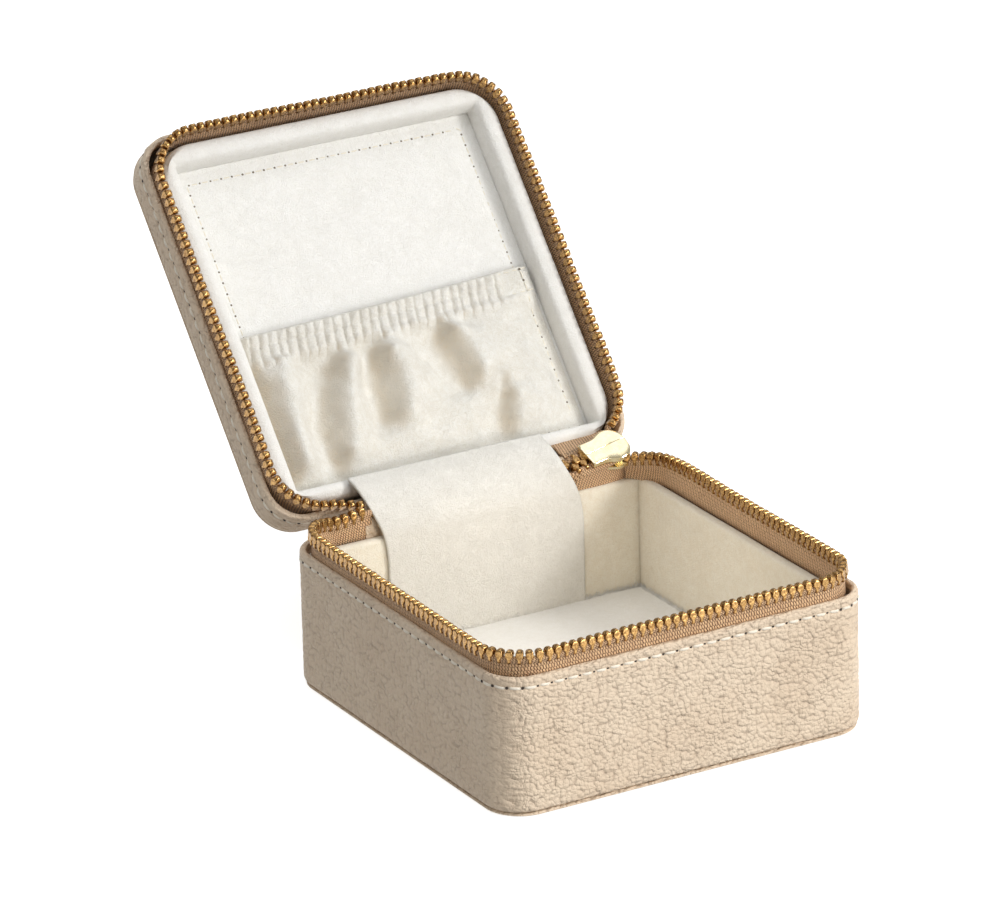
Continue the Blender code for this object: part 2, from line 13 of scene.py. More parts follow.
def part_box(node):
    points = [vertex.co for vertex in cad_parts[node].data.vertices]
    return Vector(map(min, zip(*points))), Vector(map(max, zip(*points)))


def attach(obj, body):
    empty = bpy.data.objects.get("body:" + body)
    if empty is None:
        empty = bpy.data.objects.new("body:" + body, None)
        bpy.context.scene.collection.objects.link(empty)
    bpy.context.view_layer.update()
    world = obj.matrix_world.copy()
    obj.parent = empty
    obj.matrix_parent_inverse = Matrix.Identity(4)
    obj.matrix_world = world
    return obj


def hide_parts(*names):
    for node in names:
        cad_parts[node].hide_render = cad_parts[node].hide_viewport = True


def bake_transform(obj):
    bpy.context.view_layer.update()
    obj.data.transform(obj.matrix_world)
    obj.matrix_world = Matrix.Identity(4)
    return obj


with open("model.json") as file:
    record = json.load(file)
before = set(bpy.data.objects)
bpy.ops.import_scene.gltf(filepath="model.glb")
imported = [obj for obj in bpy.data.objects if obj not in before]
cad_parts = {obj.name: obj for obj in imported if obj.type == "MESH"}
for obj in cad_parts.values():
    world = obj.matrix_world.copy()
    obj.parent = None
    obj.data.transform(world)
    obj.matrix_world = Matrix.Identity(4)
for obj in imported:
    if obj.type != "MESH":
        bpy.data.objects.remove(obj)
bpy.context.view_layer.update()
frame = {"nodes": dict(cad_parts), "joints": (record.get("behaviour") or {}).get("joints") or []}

MM = 0.001
random.seed(7)

# ------------------------------------------------------------ places from the frame

JOINTS = {joint["name"]: joint for joint in frame["joints"]}
HINGE = Vector(JOINTS["lid_hinge"]["pos_m"])
OPEN = math.radians(JOINTS["lid_hinge"]["range_deg"][1])
LID = Matrix.Translation(HINGE) @ Matrix.Rotation(-OPEN, 4, "X") @ Matrix.Translation(-HINGE)


def box_mm(node):
    low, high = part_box(node)
    return low / MM, high / MM


def closed_box_mm(node):
    """A lid node's box as it sits on the closed case."""
    back = LID.inverted()
    points = np.array([back @ v.co for v in frame["nodes"][node].data.vertices]) / MM
    return Vector(points.min(0)), Vector(points.max(0))


BASE_WALL = box_mm("base_leather_wall")
LID_WALL = closed_box_mm("lid_leather_wall")
HALF_X = BASE_WALL[1].x
HALF_Y = BASE_WALL[1].y
CORNER = 9.5
TRACK_INSET = 1.6
TRACK_CORNER = 12.0


# ------------------------------------------------------------ mesh helpers

def grid_object(name, points, uv=None, wrap_u=False, wrap_v=False, attributes=None):
    """A mesh from an array of rows of points in mm; uv is two arrays of the same size, in mm."""
    points = np.asarray(points, float)
    rows, columns = points.shape[:2]
    verts = (points.reshape(-1, 3) * MM).tolist()
    faces = []
    corner_uv = []
    last_i = rows if wrap_u else rows - 1
    last_j = columns if wrap_v else columns - 1
    for i in range(last_i):
        ni = (i + 1) % rows
        for j in range(last_j):
            nj = (j + 1) % columns
            quad = [(i, j), (ni, j), (ni, nj), (i, nj)]
            corners = [(i, j), (i + 1, j), (i + 1, j + 1), (i, j + 1)]
            faces.append([a * columns + b for a, b in quad])
            corner_uv.extend(corners)
    mesh = bpy.data.meshes.new(name)
    mesh.from_pydata(verts, [], faces)
    if uv is not None:
        layer = mesh.uv_layers.new(name="mm")
        u_of, v_of = uv
        data = np.array([(u_of[a][b], v_of[a][b]) for a, b in corner_uv], np.float32)
        layer.data.foreach_set("uv", data.ravel())
    for key, values in (attributes or {}).items():
        item = mesh.attributes.new(key, "FLOAT", "POINT")
        item.data.foreach_set("value", np.asarray(values, np.float32).ravel())
    return link(name, mesh)


def link(name, mesh):
    mesh.polygons.foreach_set("use_smooth", [True] * len(mesh.polygons))
    obj = bpy.data.objects.new(name, mesh)
    bpy.context.scene.collection.objects.link(obj)
    return obj


def path_lengths(points, closed=False):
    points = np.asarray(points, float)
    if closed:
        points = np.vstack([points, points[:1]])
    steps = np.linalg.norm(np.diff(points, axis=0), axis=1)
    return np.concatenate([[0.0], np.cumsum(steps)])


def stations(side_steps, corner_steps):
    """Stations round a rounded rectangle, clockwise from the rear right corner: (a, b, cos, sin) rows."""
    rows = []
    corners = [(1, 1, 90), (1, -1, 0), (-1, -1, -90), (-1, 1, -180)]
    for index, (a, b, start) in enumerate(corners):
        for step in range(corner_steps):
            angle = math.radians(start - 90 * step / corner_steps)
            rows.append((a, b, math.cos(angle), math.sin(angle)))
        next_a, next_b, next_start = corners[(index + 1) % 4]
        angle = math.radians(next_start)
        for step in range(side_steps):
            share = step / side_steps
            rows.append((a + (next_a - a) * share, b + (next_b - b) * share,
                         math.cos(angle), math.sin(angle)))
    return np.array(rows)


def ring(st, half_x, half_y, radius, z):
    x = st[:, 0] * (half_x - radius) + radius * st[:, 2]
    y = st[:, 1] * (half_y - radius) + radius * st[:, 3]
    return np.stack([x, y, np.full(len(st), float(z))], axis=1)


def ring_object(name, st, rings, closed_section=False, move=None):
    """A lofted ring: rings is a list of (half_x, half_y, radius, z); move(points, st) may reshape it."""
    points = np.stack([ring(st, *row) for row in rings])
    u_line = path_lengths(points[len(rings) // 2], closed=True)
    v_line = path_lengths(points[:, len(st) // 8], closed=closed_section)
    if not closed_section:
        v_line = v_line[: len(rings)]
    uv = np.meshgrid(u_line, v_line, indexing="xy")
    if move is not None:
        points = move(points, st)
    turn = 1.0 - np.maximum(np.abs(st[:, 2]), np.abs(st[:, 3]))
    turn = np.repeat(smoothstep(0.0, 0.22, turn)[None, :], len(rings), axis=0)
    return grid_object(name, points, uv, wrap_u=closed_section, wrap_v=True, attributes={"turn": turn})


def inset_rings(half_x, half_y, radius, profile):
    """Rings from (inset, z) pairs."""
    return [(half_x - inset, half_y - inset, max(0.3, radius - inset), z) for inset, z in profile]


def join(name, objects):
    """Join objects into the first one and give it a name."""
    bpy.ops.object.select_all(action="DESELECT")
    for obj in objects:
        obj.select_set(True)
    bpy.context.view_layer.objects.active = objects[0]
    bpy.ops.object.join()
    objects[0].name = name
    objects[0].data.name = name
    return objects[0]


def outward(obj):
    bm = bmesh.new()
    bm.from_mesh(obj.data)
    bmesh.ops.recalc_face_normals(bm, faces=bm.faces)
    bm.to_mesh(obj.data)
    bm.free()
    return obj


def to_lid(obj):
    """Swing a piece made on the closed case to where the open lid carries it."""
    obj.data.transform(LID)
    return obj


def apply_modifiers(obj):
    graph = bpy.context.evaluated_depsgraph_get()
    mesh = bpy.data.meshes.new_from_object(obj.evaluated_get(graph))
    obj.modifiers.clear()
    obj.data = mesh
    return obj


def solidify(obj, thickness, offset):
    modifier = obj.modifiers.new("Thickness", "SOLIDIFY")
    modifier.thickness = thickness * MM
    modifier.offset = offset
    modifier.use_even_offset = True
    return apply_modifiers(obj)


def finish_piece(obj, material, body, slot, *nodes):
    obj.data.materials.clear()
    obj.data.materials.append(material)
    if body is not None:
        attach(obj, body)
    if nodes:
        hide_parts(*nodes)
    return obj


def smoothstep(low, high, value):
    share = np.clip((np.asarray(value, float) - low) / (high - low), 0.0, 1.0)
    return share * share * (3 - 2 * share)


def bump_noise(points, scale, seed=0.0):
    """Smooth noise from -1 to 1 at an array of points in mm; scale is the size of a feature in mm."""
    flat = np.asarray(points, float).reshape(-1, 3) / scale + seed
    values = [noise.noise(Vector(p)) for p in flat.tolist()]
    return np.array(values).reshape(np.asarray(points).shape[:-1])


# ------------------------------------------------------------ materials

class Nodes:
    """A small helper to write shader graphs."""

    def __init__(self, name):
        self.material = bpy.data.materials.new(name)
        self.material.use_nodes = True
        self.tree = self.material.node_tree
        self.shader = self.tree.nodes["Principled BSDF"]

    def add(self, kind, inputs=None, **settings):
        node = self.tree.nodes.new(kind)
        for key, value in settings.items():
            setattr(node, key, value)
        for key, value in (inputs or {}).items():
            self.put(node.inputs[key], value)
        return node

    def put(self, socket, value):
        if isinstance(value, bpy.types.NodeSocket):
            self.tree.links.new(value, socket)
        else:
            socket.default_value = value

    def math(self, operation, a, b=0.0, c=0.0):
        node = self.add("ShaderNodeMath", {0: a, 1: b, 2: c}, operation=operation)
        return node.outputs[0]

    def ramp(self, value, low, high, out_low=0.0, out_high=1.0, smooth=True):
        kind = "SMOOTHSTEP" if smooth else "LINEAR"
        node = self.add("ShaderNodeMapRange", {"Value": value, "From Min": low, "From Max": high,
                                               "To Min": out_low, "To Max": out_high},
                        interpolation_type=kind)
        return node.outputs["Result"]

    def mix(self, share, a, b):
        node = self.add("ShaderNodeMix", {"Factor": share}, data_type="RGBA")
        self.put(node.inputs[6], a)
        self.put(node.inputs[7], b)
        return node.outputs[2]

    def uv_mm(self):
        """The surface's own coordinates, one unit to the millimetre."""
        return self.add("ShaderNodeUVMap", uv_map="mm").outputs["UV"]

    def object_mm(self):
        place = self.add("ShaderNodeTexCoord").outputs["Object"]
        return self.scaled(place, 1000.0)

    def scaled(self, vector, factor):
        node = self.add("ShaderNodeVectorMath", {0: vector, "Scale": factor}, operation="SCALE")
        return node.outputs[0]

    def offset(self, vector, other):
        return self.add("ShaderNodeVectorMath", {0: vector, 1: other}, operation="ADD").outputs[0]

    def noise(self, vector, scale, detail=2.0, roughness=0.5):
        node = self.add("ShaderNodeTexNoise", {"Vector": vector, "Scale": scale, "Detail": detail,
                                               "Roughness": roughness})
        return node.outputs["Fac"]

    def noise_colour(self, vector, scale, detail=1.0):
        node = self.add("ShaderNodeTexNoise", {"Vector": vector, "Scale": scale, "Detail": detail})
        return node.outputs["Color"]

    def warp(self, vector, scale, amount):
        """vector moved about by noise, amount in the vector's own unit."""
        colour = self.noise_colour(vector, scale)
        centred = self.add("ShaderNodeVectorMath", {0: colour, 1: (0.5, 0.5, 0.5)},
                           operation="SUBTRACT").outputs[0]
        return self.offset(vector, self.scaled(centred, amount))

    def bump(self, height, distance_mm, strength=1.0):
        inputs = {"Height": height, "Distance": distance_mm * MM, "Strength": strength}
        return self.add("ShaderNodeBump", inputs).outputs["Normal"]

    def finish(self, colour, roughness, normal, **constants):
        for key, value in (("Base Color", colour), ("Roughness", roughness), ("Normal", normal)):
            self.put(self.shader.inputs[key], value)
        for key, value in constants.items():
            self.shader.inputs[key.replace("_", " ")].default_value = value
        return self.material


def linear(red, green, blue):
    """An 0-255 display colour as a linear colour with alpha."""
    def channel(value):
        value /= 255
        return value / 12.92 if value <= 0.04045 else ((value + 0.055) / 1.055) ** 2.4
    return (channel(red), channel(green), channel(blue), 1.0)


def pebbles(n, place, stretch, scale=0.86):
    """Rounded pebbles with soft valleys between; stretch squeezes the two directions."""
    long = n.add("ShaderNodeVectorMath", {0: place, 1: (*stretch, 1.0)}, operation="MULTIPLY").outputs[0]
    bent = n.warp(n.warp(long, 0.33, 1.6), 1.5, 0.4)
    cell = n.add("ShaderNodeTexVoronoi", {"Vector": bent, "Scale": scale, "Smoothness": 0.1,
                                          "Randomness": 0.9},
                 feature="SMOOTH_F1", voronoi_dimensions="2D").outputs["Distance"]
    return n.math("SUBTRACT", 1.0, n.math("MULTIPLY", n.math("POWER", cell, 1.7), 2.1)), cell


def leather_material(name):
    """Pebbled leather, its pebbles drawn out level where it turns a corner."""
    n = Nodes(name)
    place = n.uv_mm()
    turn = n.add("ShaderNodeAttribute", attribute_name="turn").outputs["Fac"]
    plain, edge = pebbles(n, place, (0.9, 1.12))
    drawn, _edge = pebbles(n, place, (0.42, 1.15))
    height = n.math("ADD", plain, n.math("MULTIPLY", n.math("SUBTRACT", drawn, plain), turn))
    small, _edge = pebbles(n, place, (1.0, 1.0), 1.9)
    height = n.math("ADD", height, n.math("MULTIPLY", small, 0.28))
    patch = n.noise(place, 0.16, 2.0)
    height = n.math("MULTIPLY", height, n.ramp(patch, 0.3, 0.7, 0.7, 1.1))
    grain = n.noise(place, 5.0, 3.0, 0.6)
    height = n.math("ADD", height, n.math("MULTIPLY", grain, 0.12))
    normal = n.bump(height, 0.3)
    tone = n.noise(place, 0.06, 3.0)
    colour = n.mix(n.ramp(tone, 0.3, 0.7), linear(227, 205, 179), linear(234, 214, 189))
    # Painted shade: the colour darkens toward the valleys between the pebbles.
    colour = n.mix(n.ramp(edge, 0.45, 0.78, 0.0, 0.3), colour, linear(190, 164, 140))
    rough = n.ramp(grain, 0.2, 0.8, 0.46, 0.58, smooth=False)
    return n.finish(colour, rough, normal, Specular_IOR_Level=0.4)


def suede_material(name, colour_a, colour_b, nap=1.0, painted_shade_colour=None):
    """Short nap: fine fibres in clumps. The last argument, if given, is a painted shade colour, mixed in
    where the mesh attribute nap, a painted shade mask, is high.
    """
    n = Nodes(name)
    place = n.object_mm()
    swept = n.warp(n.warp(place, 0.2, 2.2), 1.1, 0.5)
    fibre = n.noise(swept, 2.9, 4.0, 0.66)
    tuft = n.noise(swept, 0.7, 3.0, 0.6)
    cloud = n.noise(place, 0.1, 2.0)
    share = n.math("ADD", n.ramp(fibre, 0.34, 0.64, 0.0, 0.5), n.ramp(tuft, 0.34, 0.66, 0.0, 0.3))
    share = n.math("ADD", share, n.ramp(cloud, 0.35, 0.65, 0.0, 0.2))
    colour = n.mix(share, colour_a, colour_b)
    # Painted shade: the colour is pulled toward the darker shade colour where the nap mask marks slopes
    # turned from the light and hollows.
    if painted_shade_colour is not None:
        painted_shade_share = n.add("ShaderNodeAttribute", attribute_name="nap").outputs["Fac"]
        uneven = n.math("ADD", n.ramp(fibre, 0.3, 0.7, -0.3, 0.3), n.ramp(tuft, 0.3, 0.7, -0.2, 0.2))
        painted_shade_share = n.math("MULTIPLY", painted_shade_share, n.math("ADD", uneven, 1.0))
        colour = n.mix(n.ramp(painted_shade_share, 0.0, 1.2, 0.0, 0.85, smooth=False), colour, painted_shade_colour)
    height = n.math("ADD", fibre, n.math("MULTIPLY", tuft, 0.6))
    normal = n.bump(height, 0.34 * nap)
    return n.finish(colour, 0.95, normal, Specular_IOR_Level=0.08, Sheen_Weight=0.15,
                    Sheen_Roughness=0.5)


def tape_material(name):
    """Woven zip tape: rows of short slanting threads, with painted shade darkening the gaps between them."""
    n = Nodes(name)
    place = n.warp(n.warp(n.uv_mm(), 0.8, 0.3), 2.4, 0.2)
    split = n.add("ShaderNodeSeparateXYZ", {0: place})
    u, v = split.outputs[0], split.outputs[1]
    row = n.math("MULTIPLY", v, 1.95)
    shift = n.math("MULTIPLY", n.math("FLOOR", row), 0.5)
    lean = n.math("MULTIPLY", row, 0.35)
    along = n.math("ADD", n.math("ADD", n.math("MULTIPLY", u, 1.4), shift), lean)
    across = n.math("PINGPONG", row, 0.5)
    thread = n.math("PINGPONG", along, 0.5)
    height = n.math("MULTIPLY", n.ramp(thread, 0.02, 0.32), n.ramp(across, -0.22, 0.3))
    fuzz = n.noise(place, 4.0, 3.0)
    height = n.math("ADD", n.math("MULTIPLY", height, 0.7), n.math("MULTIPLY", fuzz, 0.6))
    normal = n.bump(height, 0.3)
    # Painted shade: low places in the weave are coloured dark brown, the raised threads light tan.
    colour = n.mix(n.ramp(height, 0.3, 0.85), linear(104, 62, 36), linear(238, 198, 152))
    colour = n.mix(n.ramp(n.noise(place, 0.3, 2.0), 0.3, 0.7, 0.0, 0.3), colour, linear(196, 152, 116))
    return n.finish(colour, 0.6, normal, Specular_IOR_Level=0.4, Sheen_Weight=0.15)


def metal_material(name, colour_a, colour_b, rough_low, rough_high, wear=2.0, coat=0.0):
    n = Nodes(name)
    place = n.object_mm()
    patina = n.noise(place, wear, 4.0, 0.6)
    scratch = n.noise(n.warp(place, 2.0, 0.5), 11.0, 2.0)
    colour = n.mix(n.ramp(patina, 0.35, 0.7), colour_a, colour_b)
    rough = n.ramp(patina, 0.25, 0.75, rough_low, rough_high, smooth=False)
    normal = n.bump(scratch, 0.01, 0.6)
    return n.finish(colour, rough, normal, Metallic=1.0, Coat_Weight=coat, Coat_Roughness=0.12)


def thread_material(name, colour_a, colour_b):
    n = Nodes(name)
    place = n.object_mm()
    ply = n.noise(place, 6.0, 2.0)
    colour = n.mix(ply, colour_a, colour_b)
    normal = n.bump(n.noise(place, 9.0, 2.0), 0.05)
    return n.finish(colour, 0.6, normal, Specular_IOR_Level=0.3, Sheen_Weight=0.2)


LEATHER = leather_material("leather_grain")
SUEDE = suede_material("ivory_suede", linear(237, 235, 229), linear(246, 245, 242))
PANEL = suede_material("ivory_panel_suede", linear(229, 226, 218), linear(243, 241, 235), 1.3)
# The pouch's last colour is painted shade for the sides of its folds turned from the light.
POUCH = suede_material("ivory_pouch_suede", linear(228, 223, 211), linear(246, 245, 240), 1.4,
                       linear(220, 198, 162))
# Painted bounce light: the base lining is the same ivory suede, tinted warmer to stand for warm light
# bouncing round inside the base.
LINING_WARM_BOUNCE = suede_material("ivory_lining_warm_bounce", linear(238, 228, 208), linear(250, 245, 231))
PLUSH = suede_material("white_plush", linear(237, 235, 229), linear(248, 247, 244), 0.7)
TAPE = tape_material("twill_tape")
BRASS = metal_material("antique_brass", linear(138, 100, 54), linear(206, 166, 106), 0.2, 0.34, coat=0.3)
GOLD = metal_material("pale_gold", linear(248, 232, 190), linear(252, 241, 208), 0.14, 0.2, 0.6)
LEATHER_THREAD = thread_material("leather_thread", linear(240, 228, 208), linear(252, 246, 234))
SUEDE_THREAD = thread_material("suede_thread", linear(222, 214, 196), linear(240, 234, 220))
# Painted shade: the needle hole colours stand for the shade inside each hole.
HOLE_SHADE = thread_material("needle_hole_shade", linear(46, 38, 32), linear(66, 54, 44))
SUEDE_HOLE_SHADE = thread_material("suede_needle_hole", linear(104, 94, 80), linear(130, 120, 104))
BOARD = thread_material("grey_board", linear(120, 110, 96), linear(140, 130, 114))


# ------------------------------------------------------------ leather box

WALL_ROW = 0.36
CREASE_DEPTH = 0.22
BASE_GROOVE_DROP = 2.5
LID_GROOVE_RISE = 3.0
STITCH_INSET = 0.1
STITCH_PITCH = 3.7
STITCH_LENGTH = 2.9
STITCH_RADIUS = 0.37


def crease_corners(points, st, low, high, rows_z):
    """Level creases where the leather turns a corner, and a faint waviness everywhere."""
    normal = np.stack([st[:, 2], st[:, 3], np.zeros(len(st))], axis=1)
    turn = 1.0 - np.maximum(np.abs(st[:, 2]), np.abs(st[:, 3]))
    corner = smoothstep(0.02, 0.2, turn)
    level = smoothstep(low, low + 3, rows_z) * (1 - smoothstep(high - 4, high, rows_z))
    stretched = points.copy()
    stretched[..., :2] *= 0.2
    stretched[..., 2] += bump_noise(points, 4.0, 2.0) * 0.8
    ridges = -smoothstep(0.22, 0.0, np.abs(bump_noise(stretched, 1.5, 3.1)))
    waves = bump_noise(points, 17.0, 11.0) * 0.12
    push = ridges * CREASE_DEPTH * corner[None, :] * level[:, None] + waves
    return points + push[..., None] * normal[None]


def turned_edge(level, way):
    """The leather's outer edge, turned under at level; way is 1 where the wall rises from it."""
    return [(2.4, level + 0.1 * way), (1.2, level), (0.6, level + 0.1 * way), (0.25, level + 0.4 * way),
            (0.06, level + 0.9 * way)]


def rolled_rim(rim, groove, way):
    """The stitched groove, then the rim rolled over and down inside; way is 1 where the rim is on top."""
    over_groove = [(0.02, -0.7), (0.1, -0.4), (0.26, -0.15), (0.3, 0.0), (0.26, 0.15), (0.08, 0.45),
                   (0.0, 0.8), (-0.04, 1.3), (0.0, 1.75)]
    over_rim = [(0.12, 0.42), (0.34, 0.18), (0.66, 0.04), (1.0, 0.0), (1.3, 0.12), (1.5, 0.4),
                (1.56, 0.9), (1.56, 2.0), (1.56, 3.6)]
    return ([(inset, groove + way * rise) for inset, rise in over_groove]
            + [(inset, rim - way * drop) for inset, drop in over_rim])


def leather_wall(body, node, profile, low, high, groove):
    """A leather band round the case with its creased corners and its row of stitches."""
    rows_z = np.array([z for _inset, z in profile])
    obj = ring_object(body + "_wall_leather", stations(70, 26), inset_rings(HALF_X, HALF_Y, CORNER, profile),
                      move=lambda p, s: crease_corners(p, s, low, high, rows_z))
    if body == "lid":
        to_lid(obj)
    finish_piece(outward(obj), LEATHER, body, "leather", node)
    stitches(body + "_wall_stitches", HALF_X - STITCH_INSET, HALF_Y - STITCH_INSET,
             CORNER - STITCH_INSET, groove, body)


def base_wall():
    low = BASE_WALL[0].z
    rim = BASE_WALL[1].z
    groove = rim - BASE_GROOVE_DROP
    profile = turned_edge(low, 1)
    profile += [(0.0, z) for z in np.arange(low + 1.4, groove - 0.9, WALL_ROW)]
    profile += rolled_rim(rim, groove, 1)
    leather_wall("base", "base_leather_wall", profile, low, groove, groove)


def lid_wall():
    rim = LID_WALL[0].z
    seam = LID_WALL[1].z
    groove = rim + LID_GROOVE_RISE
    profile = rolled_rim(rim, groove, -1)[::-1]
    profile += [(0.0, z) for z in np.arange(groove + 1.1, seam - 1.4, WALL_ROW)]
    profile += turned_edge(seam, -1)[::-1]
    leather_wall("lid", "lid_leather_wall", profile, groove, seam, groove)


def along_ring(half_x, half_y, radius, z, spacing):
    """Even steps round a ring: points, outward normals and tangents."""
    st = stations(120, 60)
    points = ring(st, half_x, half_y, radius, z)
    lengths = path_lengths(points, closed=True)
    count = round(lengths[-1] / spacing)
    targets = np.arange(count) * lengths[-1] / count
    looped = np.vstack([points, points[:1]])
    normals = np.vstack([st[:, 2:4], st[:1, 2:4]])
    out = []
    for target in targets:
        k = min(len(lengths) - 2, int(np.searchsorted(lengths, target, side="right")) - 1)
        share = (target - lengths[k]) / max(1e-9, lengths[k + 1] - lengths[k])
        place = looped[k] + (looped[k + 1] - looped[k]) * share
        n = normals[k] + (normals[k + 1] - normals[k]) * share
        n = n / np.linalg.norm(n)
        out.append((place, np.array([n[0], n[1], 0.0]), np.array([n[1], -n[0], 0.0])))
    return out


def skin(start, levels, around, faces, closed_foot=True):
    """Faces of a tube of rings already in the vertex list, capped at its top."""
    for i in range(levels - 1):
        for k in range(around):
            a = start + i * around + k
            b = start + i * around + (k + 1) % around
            faces.append([a, b, b + around, a + around])
    if closed_foot:
        faces.append([start + k for k in reversed(range(around))])
    faces.append([start + (levels - 1) * around + k for k in range(around)])


def thread_bit(centre, along, up, length, radius, sink, verts, faces):
    """One stitch: a short round thread whose ends dip into the surface."""
    side = np.cross(along, up)
    rings = 7
    around = 8
    start = len(verts)
    for i in range(rings):
        share = i / (rings - 1) * 2 - 1
        dip = sink * abs(share) ** 3.0
        r = radius * (1 - 0.35 * abs(share) ** 4)
        middle = centre + along * (share * length / 2) - up * dip
        for k in range(around):
            angle = 2 * math.pi * k / around
            verts.append(middle + (side * math.cos(angle) + up * 0.8 * math.sin(angle)) * r)
    skin(start, rings, around, faces)


def hole_shade_cap(centre, up, along, radius, verts, faces):
    """Painted shade of a needle hole: a small low cap, coloured dark to stand for the shade inside the hole.
    """
    side = np.cross(along, up)
    start = len(verts)
    around = 8
    for level, share in ((-0.12, 1.0), (0.02, 0.72), (0.05, 0.3)):
        for k in range(around):
            angle = 2 * math.pi * k / around
            verts.append(centre + (side * math.cos(angle) + along * math.sin(angle)) * radius * share
                         + up * level)
    skin(start, 3, around, faces, closed_foot=False)


def mesh_object(name, verts, faces):
    mesh = bpy.data.meshes.new(name)
    mesh.from_pydata([tuple(v * MM) for v in verts], [], faces)
    return outward(link(name, mesh))


def stitches(name, half_x, half_y, radius, z, body):
    verts, faces, hole_verts, hole_faces = [], [], [], []
    up_z = np.array([0.0, 0.0, 1.0])
    for place, normal, tangent in along_ring(half_x, half_y, radius, z, STITCH_PITCH):
        slant = random.uniform(0.03, 0.09)
        along = tangent + up_z * slant
        along /= np.linalg.norm(along)
        thread_bit(place + normal * 0.02, along, normal, STITCH_LENGTH * random.uniform(0.96, 1.04),
                   STITCH_RADIUS, 0.45, verts, faces)
        # Painted shade for the needle hole between two stitches.
        hole = place + tangent * STITCH_PITCH / 2 - normal * 0.12
        hole_shade_cap(hole, normal, tangent, 0.4, hole_verts, hole_faces)
    thread = mesh_object(name, verts, faces)
    holes = mesh_object(name + "_holes", hole_verts, hole_faces)
    for obj, look in ((thread, LEATHER_THREAD), (holes, HOLE_SHADE)):
        if body == "lid":
            to_lid(obj)
        finish_piece(obj, look, body, "thread")


def end_panel(name, low, high, lid):
    """The flat leather end of the case, with a rolled edge, closed all round."""
    half_x = HALF_X - 0.4
    half_y = HALF_Y - 0.4
    outer, inner = (high, low) if lid else (low, high)
    sign = 1 if lid else -1
    profile = [(2.0, inner), (0.7, inner), (0.3, inner + 0.12 * sign), (0.05, inner + 0.3 * sign),
               (0.0, (inner + outer) / 2), (0.08, outer - 0.26 * sign), (0.36, outer - 0.1 * sign),
               (0.9, outer), (2.0, outer), (3.5, outer), (6.0, outer), (8.5, outer)]
    st = stations(30, 16)
    rings_ = inset_rings(half_x, half_y, CORNER, profile)
    for inset in np.linspace(12, 49, 12):
        share = (inset - 8.5) / 41
        rings_.append((half_x - inset, half_y - inset, max(0.3, 1.2 - share), outer))
    return cap_ends(ring_object(name, st, rings_))


def flat_uv(obj):
    """Surface coordinates taken straight from X and Y, for flat pieces."""
    layer = obj.data.uv_layers.get("mm") or obj.data.uv_layers.new(name="mm")
    places = np.array([obj.data.vertices[loop.vertex_index].co[:2] for loop in obj.data.loops]) / MM
    layer.data.foreach_set("uv", places.astype(np.float32).ravel())


def end_panels():
    bottom = end_panel("base_bottom_panel", *[p.z for p in box_mm("base_bottom_leather")], lid=False)
    flat_uv(bottom)
    finish_piece(outward(bottom), LEATHER, "base", "leather", "base_bottom_leather")
    top = end_panel("lid_top_panel", *[p.z for p in closed_box_mm("lid_top_leather")], lid=True)
    flat_uv(top)
    outward(to_lid(top))
    finish_piece(top, LEATHER, "lid", "leather", "lid_top_leather")


# ------------------------------------------------------------ zip

TRACK_X = HALF_X - TRACK_INSET
TRACK_Y = HALF_Y - TRACK_INSET
CHAIN_START = math.radians(60.0)
CHAIN_END_X = -27.5
TOOTH_PITCH = 2.25
ROOT_TO_TIP = 2.3
FOOT_LIFT = 0.9


def track_lines():
    """The zip's centre line, clockwise from the right rear corner to the rear left: (x, y, normal) rows."""
    inner_x = TRACK_X - TRACK_CORNER
    inner_y = TRACK_Y - TRACK_CORNER
    rows = []

    def arc(cx, cy, start, end):
        for angle in np.linspace(start, end, 60)[:-1]:
            c, s = math.cos(angle), math.sin(angle)
            rows.append((cx + TRACK_CORNER * c, cy + TRACK_CORNER * s, c, s))

    def line(x0, y0, x1, y1, nx, ny):
        count = int(max(abs(x1 - x0), abs(y1 - y0)) / 0.5)
        for share in np.linspace(0, 1, count)[:-1]:
            rows.append((x0 + (x1 - x0) * share, y0 + (y1 - y0) * share, nx, ny))

    quarter = math.pi / 2
    arc(inner_x, inner_y, CHAIN_START, 0.0)
    line(TRACK_X, inner_y, TRACK_X, -inner_y, 1, 0)
    arc(inner_x, -inner_y, 0.0, -quarter)
    line(inner_x, -TRACK_Y, -inner_x, -TRACK_Y, 0, -1)
    arc(-inner_x, -inner_y, -quarter, -2 * quarter)
    line(-TRACK_X, -inner_y, -TRACK_X, inner_y, -1, 0)
    arc(-inner_x, inner_y, 2 * quarter, quarter)
    line(-inner_x, TRACK_Y, CHAIN_END_X, TRACK_Y, 0, 1)
    rows.append((CHAIN_END_X, TRACK_Y, 0, 1))
    return np.array(rows)


TRACK = track_lines()
TRACK_S = path_lengths(TRACK[:, :2])


def track_at(distance):
    """Position and outward normal at a distance along the track."""
    x, y, nx, ny = [np.interp(distance, TRACK_S, TRACK[:, k]) for k in range(4)]
    size = math.hypot(nx, ny)
    return np.array([x, y, 0.0]), np.array([nx / size, ny / size, 0.0])


def base_sway(distance):
    """How far the base's row stands out and up from its nominal line: real tape is never quite true."""
    remaining = TRACK_S[-1] - distance
    dip = 1.7 * math.exp(-((remaining - 9.0) / 6.5) ** 2) + 1.5 * math.exp(-(distance / 12.0) ** 2)
    out = 0.22 * math.sin(distance / 31.0 + 0.7) + 0.12 * math.sin(distance / 9.7)
    out -= 1.5 * math.exp(-(distance / 10.0) ** 2)
    up = 0.16 * math.sin(distance / 23.0 + 2.0) - dip
    return out, up


